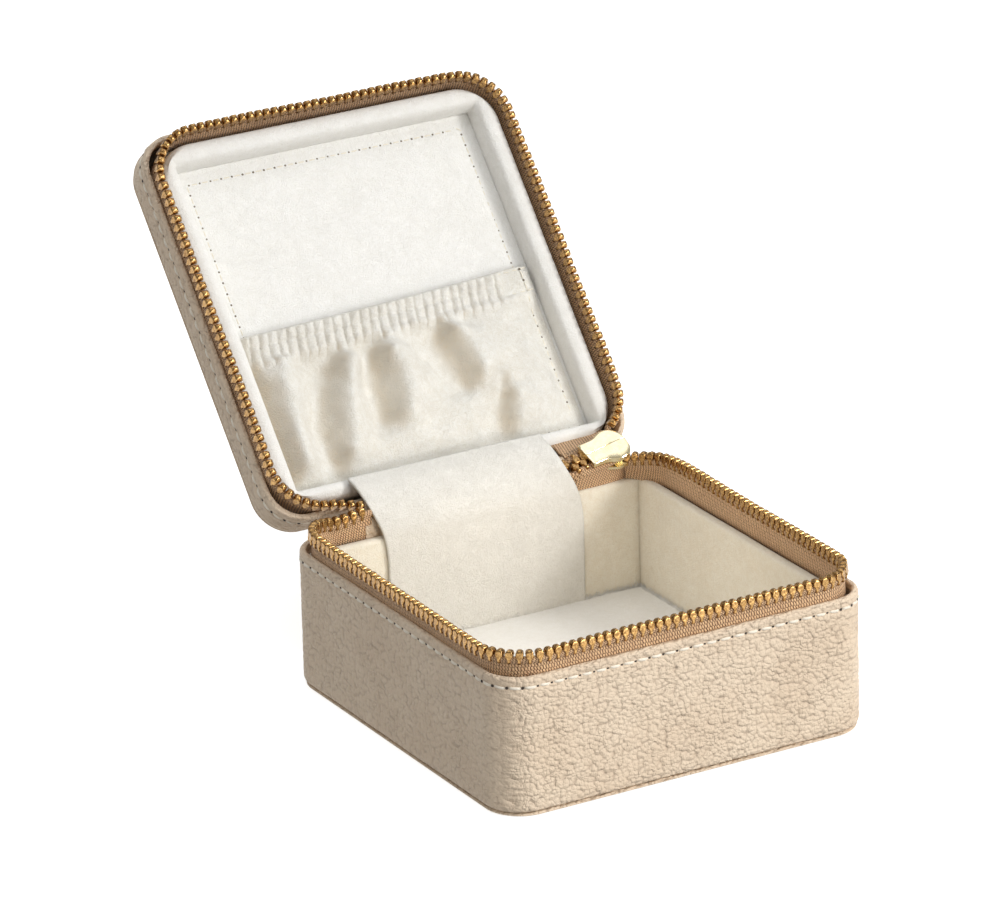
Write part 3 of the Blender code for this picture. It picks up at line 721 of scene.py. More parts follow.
def lid_sway(distance):
    """The same for the lid's row, which leans towards the base beside the panel."""
    remaining = TRACK_S[-1] - distance
    out = 0.22 * math.sin(distance / 27.0 + 2.2) + 0.12 * math.sin(distance / 8.9 + 1.0)
    out += 2.4 * math.exp(-(remaining / 6.0) ** 2) - 1.3 * math.exp(-(distance / 12.0) ** 2)
    up = 0.16 * math.sin(distance / 19.0)
    return out, up


def tooth_shape():
    """One tooth as sections along its height: (height, half width, half depth)."""
    return [(-1.1, 0.26, 0.7), (-1.0, 0.38, 0.98), (-0.4, 0.37, 1.08), (0.0, 0.38, 1.12),
            (0.3, 0.6, 1.1), (0.55, 0.84, 1.09), (0.95, 0.94, 1.07), (1.4, 0.92, 1.04),
            (1.75, 0.8, 0.97), (2.0, 0.62, 0.84), (2.2, 0.36, 0.56), (2.28, 0.1, 0.18)]


def add_tooth(centre, along, normal, up, verts, faces, tilt):
    """One tooth: two legs clamped on the tape's cord and a wide cupped head."""
    around = 20
    start = len(verts)
    shape = tooth_shape()
    for height, half_t, half_n in shape:
        cup = 0.42 * math.exp(-((height - 1.15) / 0.5) ** 2)
        for k in range(around):
            angle = 2 * math.pi * (k + 0.5) / around
            c, s = math.cos(angle), math.sin(angle)
            t = math.copysign(abs(c) ** 0.34, c) * half_t
            m = math.copysign(abs(s) ** 0.34, s) * half_n
            m -= math.copysign(cup * math.exp(-(t / 0.5) ** 2), m)
            verts.append(centre + along * (t + tilt * height) + normal * m + up * height)
    skin(start, len(shape), around, faces)


def zip_row(name, root_z, direction, sway, phase):
    """All the teeth of one side of the zip, standing up (1) or hanging down (-1)."""
    total = TRACK_S[-1]
    count = round(total / TOOTH_PITCH)
    step = total / (count + 0.5)
    verts, faces = [], []
    for index in range(count):
        distance = (index + 0.25 + phase) * step
        if distance > total:
            break
        place, normal = track_at(distance)
        out, lift = sway(distance)
        along = np.array([normal[1], -normal[0], 0.0])
        centre = place + normal * out + np.array([0, 0, root_z + lift * direction])
        up = np.array([0, 0, float(direction)]) + normal * random.uniform(-0.04, 0.04)
        up /= np.linalg.norm(up)
        add_tooth(centre, along, normal, up, verts, faces, random.uniform(-0.03, 0.03))
    return mesh_object(name, verts, faces)


def tape_band(name, section, root_z, direction, sway, start, end):
    """Woven tape along the track; section is (out, height from the tooth roots) in order round it."""
    distances = np.linspace(start, end, int((end - start) / 0.8))
    heights = np.array([h for _n, h in section])
    outs = np.array([n for n, _h in section])
    deep = smoothstep(-1.0, -4.5, heights)
    rows = []
    for distance in distances:
        place, normal = track_at(distance)
        out, lift = sway(distance)
        wave = 0.1 * math.sin(distance / 4.1) * deep * (1 - deep) * 4
        offset = outs + out * (1 - deep) + wave
        row = place[None, :] + normal[None, :] * offset[:, None]
        foot = FOOT_LIFT * math.exp(-(distance / 6.0) ** 2) * deep
        row[:, 2] = root_z + direction * (heights + lift * (1 - deep) + foot)
        rows.append(row)
    points = np.array(rows)
    uv = np.meshgrid(distances, path_lengths(points[0], closed=True), indexing="ij")
    return grid_object(name, points, uv, wrap_v=True)


def cap_ends(obj):
    """Close the two open ends of a band."""
    bm = bmesh.new()
    bm.from_mesh(obj.data)
    edges = [edge for edge in bm.edges if edge.is_boundary]
    bmesh.ops.holes_fill(bm, edges=edges, sides=0)
    bmesh.ops.recalc_face_normals(bm, faces=bm.faces)
    bm.to_mesh(obj.data)
    bm.free()
    return obj


def tape_section(depth, tuck):
    """Thin tape with a round cord at the tooth roots; tuck is how far its foot leans inwards."""
    thick = 0.28
    lower = [(-depth, -tuck), (-depth * 0.7, -tuck), (-depth * 0.45, -tuck * 0.8), (-2.6, -tuck * 0.3),
             (-1.6, 0.0), (-1.0, 0.0)]
    inner = [(n - thick, h) for h, n in lower]
    outer = [(n + thick, h) for h, n in reversed(lower)]
    cord = [(-0.5, -0.75), (-0.72, -0.4), (-0.7, 0.1), (-0.4, 0.5), (0.0, 0.62), (0.4, 0.5),
            (0.7, 0.1), (0.72, -0.4), (0.5, -0.75)]
    return inner + cord + outer


def zip_side(body, root, depth, tuck, direction, sway, phase):
    """One side of the zip: its row of teeth and its tape."""
    teeth = zip_row(body + "_zip_row", root, direction, sway, phase)
    tape = cap_ends(tape_band(body + "_twill_tape", tape_section(depth, tuck), root, direction, sway,
                              0.0, TRACK_S[-1]))
    if body == "lid":
        to_lid(teeth)
        to_lid(tape)
    finish_piece(outward(teeth), BRASS, body, "brass", body + "_zip_teeth")
    finish_piece(tape, TAPE, body, "tape", body + "_zip_tape")


def zip_pieces():
    base_root = box_mm("base_zip_teeth")[1].z + 0.15 - ROOT_TO_TIP
    lid_root = closed_box_mm("lid_zip_teeth")[0].z - 0.05 + ROOT_TO_TIP
    base_low = box_mm("base_zip_tape")[0].z
    lid_high = closed_box_mm("lid_zip_tape")[1].z
    zip_side("base", base_root, base_root - base_low, 0.05, 1, base_sway, 0.0)
    zip_side("lid", lid_root, lid_high - lid_root, 0.45, -1, lid_sway, 0.5)


# ------------------------------------------------------------ base lining

CARD_X = 45.2
CARD_Y = 46.7
LINING_TOP = 31.9


def pull_in_corners(points, half_x, half_y, radius):
    """Keep points inside a rounded rectangle by drawing back those past its corners."""
    out = points.copy()
    cx, cy = half_x - radius, half_y - radius
    dx = np.abs(out[..., 0]) - cx
    dy = np.abs(out[..., 1]) - cy
    far = (dx > 0) & (dy > 0)
    size = np.hypot(np.maximum(dx, 1e-9), np.maximum(dy, 1e-9))
    over = far & (size > radius)
    share = np.where(over, radius / np.maximum(size, 1e-9), 1.0)
    out[..., 0] = np.where(over, np.sign(out[..., 0]) * (cx + dx * share), out[..., 0])
    out[..., 1] = np.where(over, np.sign(out[..., 1]) * (cy + dy * share), out[..., 1])
    return out


def lining_card(name, side, node):
    """A suede-covered board with a soft wide top edge and mitred ends."""
    low = 2.9
    top = LINING_TOP
    section = [(0.06, low), (0.0, low + 0.5)]
    section += [(0.0, z) for z in np.arange(low + 1.5, top - 1.6, 1.2)]
    section += [(0.0, top - 1.2), (0.06, top - 0.7), (0.24, top - 0.3), (0.6, top - 0.08), (1.1, top),
                (1.7, top), (2.2, top - 0.12), (2.6, top - 0.4), (2.65, top - 0.8),
                (1.0, top - 0.86), (1.0, 16.0), (1.0, low)]
    ends = 60
    rows = []
    half = CARD_X if side in ("front", "rear") else CARD_Y
    for share in np.linspace(-1, 1, ends):
        row = []
        for d, z in section:
            along = share * (half + d - 0.04)
            if side == "right":
                row.append((CARD_X + d, along, z))
            elif side == "left":
                row.append((-CARD_X - d, along, z))
            elif side == "rear":
                row.append((along, CARD_Y + d, z))
            else:
                row.append((along, -CARD_Y - d, z))
        rows.append(row)
    points = pull_in_corners(np.array(rows), HALF_X - 1.7, HALF_Y - 1.7, CORNER - 1.7)
    soft = bump_noise(points, 13.0, 5.0) * 0.09
    axis = 0 if side in ("left", "right") else 1
    points[..., axis] += soft
    obj = cap_ends(grid_object(name, points, wrap_v=True))
    finish_piece(obj, LINING_WARM_BOUNCE, "base", "suede", node)


def floor_cushion():
    """The thin plush floor: crowned, uneven at its edges, with loose nap brushed up the walls."""
    low, high = box_mm("base_floor_pad")
    half_x, half_y = CARD_X + 0.5, CARD_Y + 0.5
    top = 3.4
    profile = [(3.0, low.z - 0.25), (0.5, low.z - 0.25), (0.1, low.z + 0.0), (0.0, low.z + 0.2),
               (0.0, top + 0.4), (0.6, top + 0.42), (1.2, top + 0.35), (2.4, top + 0.22), (4.5, top + 0.2)]
    rings_ = inset_rings(half_x, half_y, 1.6, profile)
    for inset in (8, 13, 19, 26, 33, 39, 43.4):
        rings_.append((half_x - inset, half_y - inset, 0.5, top + 0.2 + 0.3 * min(1, inset / 25)))
    st = stations(70, 6)
    obj = ring_object("base_floor_cushion", st, rings_,
                      move=lambda p, s: p + np.stack([0 * p[..., 0], 0 * p[..., 0],
                                                      bump_noise(p, 7.0, 2.0) * 0.16], axis=-1))
    obj = cap_ends(obj)
    finish_piece(obj, PLUSH, "base", "plush", "base_floor_pad")
    verts, faces = [], []
    for place, normal, tangent in along_ring(half_x - 0.6, half_y - 0.6, 1.2, top + 0.3, 0.24):
        for _ in range(3):
            foot = place - normal * random.uniform(-0.3, 0.9) + tangent * random.uniform(-0.1, 0.1)
            lean = normal * random.uniform(-0.7, 0.2) + tangent * random.uniform(-0.7, 0.7)
            rise = np.array([0.0, 0.0, random.uniform(0.3, 1.5)])
            add_strand(foot, lean, rise, tangent, random.uniform(0.07, 0.13), verts, faces)
    finish_piece(mesh_object("base_floor_nap", verts, faces), PLUSH, "base", "plush")


def add_strand(foot, lean, rise, side, width, verts, faces):
    """One loose fibre: a three-sided spike that bends as it rises."""
    start = len(verts)
    back = np.cross(side, np.array([0.0, 0.0, 1.0]))
    for share, size in ((0.0, 1.0), (0.55, 0.7)):
        middle = foot + rise * share + lean * share ** 2
        verts.extend([middle + side * width * size, middle - side * width * size,
                      middle + back * width * size])
    verts.append(foot + rise + lean)
    for k in range(3):
        m = (k + 1) % 3
        faces.append([start + k, start + m, start + 3 + m, start + 3 + k])
        faces.append([start + 3 + k, start + 3 + m, start + 6])
    faces.append([start + 2, start + 1, start])


# ------------------------------------------------------------ lid interior

LEDGE_X = 41.6
LEDGE_FRONT = -42.6
LEDGE_REAR = 43.9
FLOOR_Z = 51.0
SEAM_INSET = 3.6


def lid_ledge():
    """The padded suede ledge: pillowed face, soft lip, square inner corners."""
    centre_y = (LEDGE_FRONT + LEDGE_REAR) / 2
    half_y = (LEDGE_REAR - LEDGE_FRONT) / 2
    inner = [(0.0, 51.8), (0.0, 50.0), (0.0, 48.6), (0.02, 47.4), (0.1, 46.5), (0.3, 45.75),
             (0.65, 45.15), (1.1, 44.85), (1.7, 44.7)]
    rings_ = []
    shifts = []
    for d, z in inner:
        rings_.append((LEDGE_X + d, half_y + d, 0.35 + d * 0.5, z))
        shifts.append(centre_y)
    for share, z in ((0.25, 44.6), (0.5, 44.62), (0.75, 44.8)):
        half_x = 43.3 + (45.7 - 43.3) * share
        rings_.append((half_x, 44.95 + (47.0 - 44.95) * share, 1.2 + 8.0 * share, z))
        shifts.append(centre_y * (1 - share))
    for half_x, z in ((45.9, 45.05), (46.3, 45.5), (46.55, 46.2), (46.65, 47.2), (46.65, 51.6)):
        rings_.append((half_x, half_x + 1.3, 9.9, z))
        shifts.append(0.0)
    shifts = np.array(shifts)

    def move(points, st):
        points = points.copy()
        points[..., 1] += shifts[:, None]
        points[..., 2] += bump_noise(points, 11.0, 8.0) * 0.14
        return points

    st = stations(66, 18)
    obj = ring_object("lid_padded_ledge", st, rings_, closed_section=True, move=move)
    outward(to_lid(obj))
    finish_piece(obj, SUEDE, "lid", "suede", "lid_padded_rim")


def lid_floor():
    """The stitched suede panel inside the lid."""
    half_x = LEDGE_X + 0.1
    low_y, high_y = LEDGE_FRONT - 0.1, LEDGE_REAR + 0.1
    x, y = np.meshgrid(np.linspace(-half_x, half_x, 190), np.linspace(low_y, high_y, 196), indexing="ij")
    edge = np.minimum(half_x - np.abs(x), np.minimum(y - low_y, high_y - y))
    z = FLOOR_Z - 0.25 * (1 - smoothstep(0.0, 1.3, edge))
    z += 0.16 * np.exp(-((edge - SEAM_INSET) / 0.7) ** 2)
    points = np.stack([x, y, z], axis=-1)
    points[..., 2] += bump_noise(points, 14.0, 4.0) * 0.12
    obj = grid_object("lid_floor_suede", points)
    solidify(obj, 1.0, 1.0)
    outward(to_lid(obj))
    finish_piece(obj, SUEDE, "lid", "suede", "lid_floor_panel")
    verts, faces, hole_verts, hole_faces = [], [], [], []
    centre_y = (low_y + high_y) / 2
    half_y = (high_y - low_y) / 2
    down = np.array([0.0, 0.0, -1.0])
    for place, _normal, tangent in along_ring(half_x - SEAM_INSET, half_y - SEAM_INSET, 0.6, FLOOR_Z, 2.95):
        place = place + np.array([0.0, centre_y, 0.0])
        if place[1] > high_y - SEAM_INSET - 0.5:
            place[1] = POCKET_BOTTOM - 1.2
        if place[0] < -30.0 and place[1] > pocket_top(place[0]) - 1.0:
            continue
        lift = 0.14
        if place[1] > pocket_top(place[0]) and place[0] < POCKET_X[1]:
            lift = -float(pocket_height(np.array([place[0]]), np.array([place[1]]))[0]) - 0.62
        place[2] = FLOOR_Z + lift
        thread_bit(place, tangent, down, 2.1, 0.17, 0.3, verts, faces)
        # Painted shade for the needle hole beside each stitch.
        hole_shade_cap(place + tangent * 1.47, down, tangent, 0.34, hole_verts, hole_faces)
    for name, v, f, look in (("lid_floor_stitches", verts, faces, SUEDE_THREAD),
                             ("lid_floor_stitch_holes", hole_verts, hole_faces, SUEDE_HOLE_SHADE)):
        part = to_lid(mesh_object(name, v, f))
        finish_piece(outward(part), look, "lid", "thread")


POCKET_X = (-41.3, 40.6)
POCKET_BOTTOM = 44.3
BAND_DEPTH = 7.2
RIBS_END = 31.0
FOLD_RISE = 1.6
FOLD_SOFT = 5.0


# lines along the pouch that stand at one height: (height, points as x, y on the closed lid)
FOLD_LINES = [
    (2.2, [(-36.1, 10.5), (-37.5, 12.2), (-39.3, 14.0)]),
    (3.9, [(-34.5, 14.4), (-33.6, 19.1), (-35.1, 24.5), (-37.0, 29.6), (-37.4, 34.6), (-36.4, 38.9)]),
    (3.2, [(-32.6, 10.4), (-31.3, 13.0)]),
    (1.1, [(-17.8, 10.8), (-20.6, 13.5), (-23.3, 17.4), (-27.2, 22.9), (-30.2, 27.3), (-30.9, 31.2),
           (-29.8, 36.0), (-27.2, 41.1)]),
    (1.5, [(-26.5, 10.4), (-28.0, 12.0), (-28.8, 13.0)]),
    (4.7, [(-16.0, 14.3), (-17.4, 18.3), (-20.0, 23.5), (-21.3, 28.4), (-22.6, 33.4), (-24.8, 38.0)]),
    (1.0, [(-5.8, 9.6), (-7.5, 11.8), (-9.9, 14.2), (-11.8, 17.1), (-13.1, 20.8), (-13.1, 24.8),
           (-12.7, 28.4), (-13.3, 31.3)]),
    (1.7, [(-12.9, 10.4), (-13.0, 11.6)]),
    (5.1, [(-5.6, 14.7), (-4.1, 18.1), (-3.9, 22.9), (-4.7, 27.9), (-6.7, 31.4)]),
    (1.8, [(0.7, 9.9), (1.0, 12.6)]),
    (1.2, [(10.0, 9.4), (9.6, 11.7), (9.9, 15.7), (10.6, 19.9), (11.4, 24.1), (12.3, 27.4)]),
    (4.7, [(13.5, 13.2), (16.2, 17.5), (17.0, 21.6), (16.2, 25.5)]),
    (1.6, [(17.5, 8.8), (17.7, 11.0)]),
    (1.2, [(21.0, 29.0), (20.0, 31.5), (19.1, 33.7), (18.4, 37.5), (18.6, 39.5)]),
    (3.4, [(23.9, 28.0), (23.2, 31.0), (22.4, 35.0), (21.4, 39.0)]),
    (2.5, [(26.2, 17.2), (29.5, 20.9), (29.7, 27.8), (-0.8, 33.6), (4.2, 34.8), (9.7, 36.1), (-4.0, 37.6),
           (2.6, 39.0), (-13.5, 37.7), (-19.7, 39.6)]),
    (1.6, [(34.0, 14.0), (35.0, 24.0), (35.0, 34.0)]),
]


def fold_surface():
    """Weights of a smooth surface through the fold lines and the sewn edges."""
    samples = []
    for height, line in FOLD_LINES:
        line = np.array(line)
        lengths = path_lengths(line)
        for target in np.linspace(0, lengths[-1], max(2, int(lengths[-1] / 1.8))):
            x, y = [np.interp(target, lengths, line[:, k]) for k in range(2)]
            samples.append((x, y, height))
    for share in np.linspace(0, 1, 16):
        x = POCKET_X[0] + (POCKET_X[1] - POCKET_X[0]) * share
        samples.append((x, POCKET_BOTTOM, 0.0))
        samples.append((x, pocket_top(x) + BAND_DEPTH - 0.6, 2.3 if 0.02 < share < 0.95 else 0.3))
        if 0 < share < 1:
            y = 10 + (POCKET_BOTTOM - 10) * share
            samples.append((POCKET_X[0], y, 0.1))
            samples.append((POCKET_X[1], y, 0.0))
            samples.append((POCKET_X[1] - 3.2, y, 0.25))
    samples = np.array(samples)
    gaps = samples[:, None, :2] - samples[None, :, :2]
    kernel = -np.sqrt((gaps ** 2).sum(-1) + FOLD_SOFT)
    kernel += np.eye(len(samples)) * 0.12
    mean = samples[:, 2].mean()
    return samples[:, :2], np.linalg.solve(kernel, samples[:, 2] - mean), mean


def pocket_top(x):
    """The elastic edge hangs a little lower on the left."""
    share = (x - POCKET_X[0]) / (POCKET_X[1] - POCKET_X[0])
    return 2.6 - 2.8 * share + 0.4 * math.sin(share * math.pi)


def pocket_height(x, y):
    """Height of the pouch above the panel at arrays of places."""
    places, weights, mean = FOLD_SURFACE
    flat = np.stack([x.ravel(), y.ravel()], axis=1)
    out = np.empty(len(flat))
    for first in range(0, len(flat), 4000):
        part = flat[first:first + 4000]
        gaps = part[:, None, :] - places[None, :, :]
        out[first:first + 4000] = -np.sqrt((gaps ** 2).sum(-1) + FOLD_SOFT) @ weights
    return FOLD_RISE * np.maximum(out.reshape(x.shape) + mean, 0.0)


FOLD_SURFACE = fold_surface()


def lid_pocket():
    """The gathered pouch with its ribbed elastic band, one sheet sewn at the sides and bottom."""
    xs = np.linspace(POCKET_X[0], POCKET_X[1], 380)
    band_rows = 26
    body_rows = 98
    rows = []
    for x0 in xs:
        top = pocket_top(x0)
        ys = list(np.linspace(top, top + BAND_DEPTH, band_rows, endpoint=False))
        ys += list(np.linspace(top + BAND_DEPTH, POCKET_BOTTOM, body_rows))
        rows.append([(x0, y0) for y0 in ys])
    grid = np.array(rows)
    x, y = grid[..., 0], grid[..., 1]
    top = np.vectorize(pocket_top)(x)
    height = pocket_height(x, y)
    across = (y - top) / BAND_DEPTH
    in_band = smoothstep(1.2, 0.86, across)
    lean = x + 0.22 * (y - top) + 0.5 * bump_noise(np.stack([x, 0 * x, 0 * x], -1), 3.1, 4.0)
    ribs = np.abs(np.sin(np.pi * lean / 2.55))
    ribs = np.sqrt(np.clip(ribs, 0, 1)) * (0.8 + 0.35 * bump_noise(np.stack([x, y, 0 * x], -1), 2.4, 1.0))
    flat = smoothstep(RIBS_END - 1.0, RIBS_END + 2.0, x)
    reach = smoothstep(0.0, 0.12, across) * smoothstep(1.5, 0.9, across)
    sewn = smoothstep(0, 3.0, x - POCKET_X[0]) * smoothstep(0, 4.0, POCKET_X[1] - x)
    band = (1.7 + 0.2 * flat) * (0.35 + 0.65 * sewn) + 0.35 * smoothstep(0.0, 0.08, across)
    z_up = height * (1 - in_band) + band * in_band
    z_up += 1.25 * ribs * reach * (1 - flat) * sewn
    ripple = bump_noise(np.stack([x, y, 0 * x], -1), 4.2, 9.0) * 0.3
    ripple += bump_noise(np.stack([x * 0.8, y * 0.8, 0 * x], -1), 1.7, 5.0) * 0.1
    z_up += ripple * (1 - in_band) * smoothstep(0, 2.5, height) * smoothstep(1.0, 1.4, across)
    z_up -= 0.4 * np.exp(-((across - 0.5) / 0.07) ** 2) * (1 - flat) * sewn
    stitch_rows = np.exp(-((across - 0.12) / 0.05) ** 2) + np.exp(-((across - 0.93) / 0.05) ** 2)
    z_up -= 0.3 * stitch_rows * flat
    z_up += 0.6
    points = np.stack([x, y, FLOOR_Z - z_up], axis=-1)
    # Painted shade mask, kept in the attribute nap: darker on slopes that face away from the key light on
    # the right, and in the low hollows between folds.
    slope = np.gradient(z_up, axis=0) / np.gradient(x, axis=0)
    hollow_painted_shade = np.clip(1.0 - height / (2.6 * FOLD_RISE), 0, 1)
    swept = 0.55 * smoothstep(0.0, 1.5, slope) + 0.4 * hollow_painted_shade * smoothstep(-0.5, 0.9, slope)
    swept *= (1 - 0.6 * in_band) * smoothstep(POCKET_BOTTOM, POCKET_BOTTOM - 3.5, y)
    obj = grid_object("lid_pocket_pouch", points, attributes={"nap": swept})
    solidify(obj, 0.55, 1.0)
    outward(to_lid(obj))
    finish_piece(obj, POUCH, "lid", "suede", "lid_pocket", "pocket_elastic")
    verts, faces = [], []
    for row in (0.12, 0.93):
        for x0 in np.arange(RIBS_END + 1.0, POCKET_X[1] - 0.8, 2.3):
            y0 = pocket_top(x0) + BAND_DEPTH * row
            thread_bit(np.array([x0, y0, FLOOR_Z - 2.72]), np.array([1.0, -0.03, 0.0]),
                       np.array([0.0, 0.0, -1.0]), 1.7, 0.15, 0.3, verts, faces)
    part = outward(to_lid(mesh_object("pocket_band_stitches", verts, faces)))
    finish_piece(part, SUEDE_THREAD, "lid", "thread")


# ------------------------------------------------------------ hinge

def swung(y, z):
    """A (y, z) of the closed case, as the open lid carries it, in mm."""
    place = LID @ Vector((0, y * MM, z * MM))
    return place.y / MM, place.z / MM


def smooth_line(points, count):
    """A smooth curve through points, evenly spaced."""
    points = np.array(points, float)
    dense = []
    extended = np.vstack([2 * points[0] - points[1], points, 2 * points[-1] - points[-2]])
    for index in range(len(points) - 1):
        p0, p1, p2, p3 = extended[index:index + 4]
        for t in np.linspace(0, 1, 24, endpoint=False):
            dense.append(0.5 * ((2 * p1) + (p2 - p0) * t + (2 * p0 - 5 * p1 + 4 * p2 - p3) * t * t
                                + (3 * p1 - p0 - 3 * p2 + p3) * t ** 3))
    dense.append(points[-1])
    dense = np.array(dense)
    s = path_lengths(dense)
    targets = np.linspace(0, s[-1], count)
    return np.stack([np.interp(targets, s, dense[:, k]) for k in range(dense.shape[1])], axis=1)


def hinge_panel():
    """The suede panel that runs from the base's floor over the hinge to the lid's ledge."""
    end = swung(44.6, 43.9)
    line = [(46.15, 3.2), (46.1, 12.0), (46.1, 22.0), (46.15, 29.5), (46.5, 33.2), (48.3, 36.6),
            (51.0, 40.0), (54.2, 42.6), (end[0] - 0.6, end[1] - 0.25), end]
    profile = smooth_line(line, 90)
    rows = []
    for share in np.linspace(-1, 1, 120):
        row = []
        for index, (y, z) in enumerate(profile):
            t = index / (len(profile) - 1)
            swing = smoothstep(0.45, 1.0, t)
            centre = 2.0 - 4.4 * swing
            half = 27.0 - 0.4 * swing
            x = centre + share * half
            bulge = 0.5 * (1 - share ** 2) * math.exp(-((t - 0.72) / 0.12) ** 2)
            over = 1.3 * smoothstep(0.72, 1.0, share) * math.exp(-((z - 37.6) / 3.6) ** 2)
            over *= y > 46.2 or z > 30
            row.append((x - 0.46 * over, y - bulge * 0.5 - 0.81 * over, z + bulge + 0.36 * over))
        rows.append(row)
    points = np.array(rows)
    points[..., 2] += bump_noise(points, 12.0, 6.0) * 0.16
    points[..., 1] -= np.abs(bump_noise(points, 16.0, 3.0)) * 0.16
    obj = grid_object("hinge_suede_panel", points)
    solidify(obj, 0.7, 0.0)
    outward(obj)
    finish_piece(obj, PANEL, None, "suede", "hinge_panel_base_half", "hinge_panel_lid_half")
    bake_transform(obj)


SPINE_LEFT = -29.2
SPINE_RIGHT = 29.6


def spine():
    """The leather spine at the back, bending between base and lid."""
    line = [(49.6, 30.5), (49.6, 33.5), (50.1, 35.6), (51.2, 37.4), (51.9, 39.0), swung(52.0, 43.3),
            swung(51.0, 44.9), swung(49.7, 46.6), swung(49.6, 49.0), swung(49.6, 51.5)]
    profile = smooth_line(line, 60)
    xs = np.linspace(SPINE_LEFT, SPINE_RIGHT, 84)
    points = np.array([[(x, y, z) for y, z in profile] for x in xs])
    points[..., 1] += bump_noise(points, 9.0, 7.0) * 0.12
    uv = np.meshgrid(xs, path_lengths(profile), indexing="ij")
    obj = grid_object("spine_leather", points, uv)
    solidify(obj, 0.8, 0.0)
    outward(obj)
    finish_piece(obj, LEATHER, None, "leather", "spine_base_half", "spine_lid_half")
    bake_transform(obj)


# ------------------------------------------------------------ slider and rear zip

PIN_X = 2.6
PIN_Y = 3.5
SLIDER_AXIS = -np.array(JOINTS["slider_travel"]["axis"])
ACROSS_AXIS = -np.array(JOINTS["pull_swing"]["axis"])
OUT_AXIS = np.cross(ACROSS_AXIS, SLIDER_AXIS)
SLIDER_CENTRE = np.array(JOINTS["pull_swing"]["pos_m"]) / MM - SLIDER_AXIS * PIN_X - OUT_AXIS * PIN_Y


def from_slider(points):
    """Slider coordinates (tail to nose, outward, across) to the case's, in mm."""
    points = np.asarray(points, float)
    return (SLIDER_CENTRE + points[..., 0:1] * SLIDER_AXIS + points[..., 1:2] * OUT_AXIS
            + points[..., 2:3] * ACROSS_AXIS)


def hard_edges(obj, degrees):
    obj.data.set_sharp_from_angle(angle=math.radians(degrees))
    return obj


RIDGE_SHARES = (-1.0, -0.96, -0.9, -0.6, -0.3, -0.035, 0.0, 0.035, 0.3, 0.6, 0.9, 0.96, 1.0)


def slider_plate(name, face, back, ridge):
    """One plate of the slider: face and back are its two heights along the outward axis."""
    outline = smooth_line([(-5.7, 3.5), (-4.6, 3.5), (-2.6, 3.55), (-1.2, 3.75), (0.2, 4.35), (1.6, 4.85),
                           (3.2, 4.8), (4.5, 4.2), (5.4, 3.1), (5.75, 2.0)], 60)
    rows = []
    step = math.copysign(1.0, back - face)
    for index, (x, half) in enumerate(outline):
        ease = min(index, len(outline) - 1 - index) / 2.0
        drop = 0.22 * (1 - min(1.0, ease)) ** 2
        row = []
        for share in RIDGE_SHARES:
            soft = 0.2 * max(0.0, (abs(share) - 0.9) / 0.1) ** 2
            crown = ridge * (1 - abs(share)) * smoothstep(-5.7, 5.0, x) - 0.1 * (share == 0)
            row.append((x, face + step * (soft + drop) - step * crown, share * half))
        for share in (1.0, 0.93, 0.5, 0.0, -0.5, -0.93, -1.0):
            row.append((x, back, share * (half + (0.0 if abs(share) < 1 else 0.03))))
        rows.append(row)
    points = from_slider(np.array(rows))
    return hard_edges(cap_ends(grid_object(name, points, wrap_v=True)), 32)


def block(name, low, high, turn=lambda p: p):
    """A small softened block between two corners."""
    bm = bmesh.new()
    bmesh.ops.create_cube(bm, size=1.0)
    low, high = np.array(low, float), np.array(high, float)
    for vert in bm.verts:
        vert.co = Vector((low + high) / 2 + (high - low) * np.array(vert.co))
    bmesh.ops.bevel(bm, geom=list(bm.edges), offset=0.28 * min(high - low), segments=3, affect="EDGES",
                    profile=0.5)
    verts = [turn(np.array(v.co)) for v in bm.verts]
    faces = [[v.index for v in f.verts] for f in bm.faces]
    bm.free()
    return mesh_object(name, verts, faces)


def slider():
    parts = [slider_plate("zip_slider_body", -2.2, -1.05, 0.6), slider_plate("plate", 2.1, 1.05, 0.0)]
    for side in (-1, 1):
        flank = smooth_line([(-5.5, 3.45), (-2.6, 3.5), (-1.2, 3.7), (0.2, 4.3), (1.6, 4.8)], 24)
        rows = []
        for x, half in flank:
            rows.append([(x, -1.2, side * half), (x, -0.45, side * half), (x, -0.4, side * (half - 0.2)),
                         (x, -0.45, side * (half - 0.45)), (x, -1.2, side * (half - 0.5))])
        parts.append(outward(cap_ends(grid_object("flange", from_slider(np.array(rows)), wrap_v=True))))
        parts.append(block("ear", (PIN_X - 1.0, 1.9, side * 2.05 - 0.42), (PIN_X + 1.0, PIN_Y + 1.0,
                                                                       side * 2.05 + 0.42), from_slider))
    parts.append(block("post", (2.4, -1.3, -1.1), (5.0, 1.3, 1.1), from_slider))
    obj = join("zip_slider_body", [outward(part) for part in parts])
    finish_piece(obj, GOLD, "slider", "gold", "zip_slider")
    rod = []
    for z in np.linspace(-2.5, 2.5, 9):
        rod.append([(PIN_X + 0.55 * math.cos(a), PIN_Y + 0.55 * math.sin(a), z)
                    for a in np.linspace(0, 2 * math.pi, 14, endpoint=False)])
    pin = outward(cap_ends(grid_object("slider_pull_pin", from_slider(np.array(rod)), wrap_v=True)))
    finish_piece(hard_edges(pin, 40), GOLD, "slider", "gold")


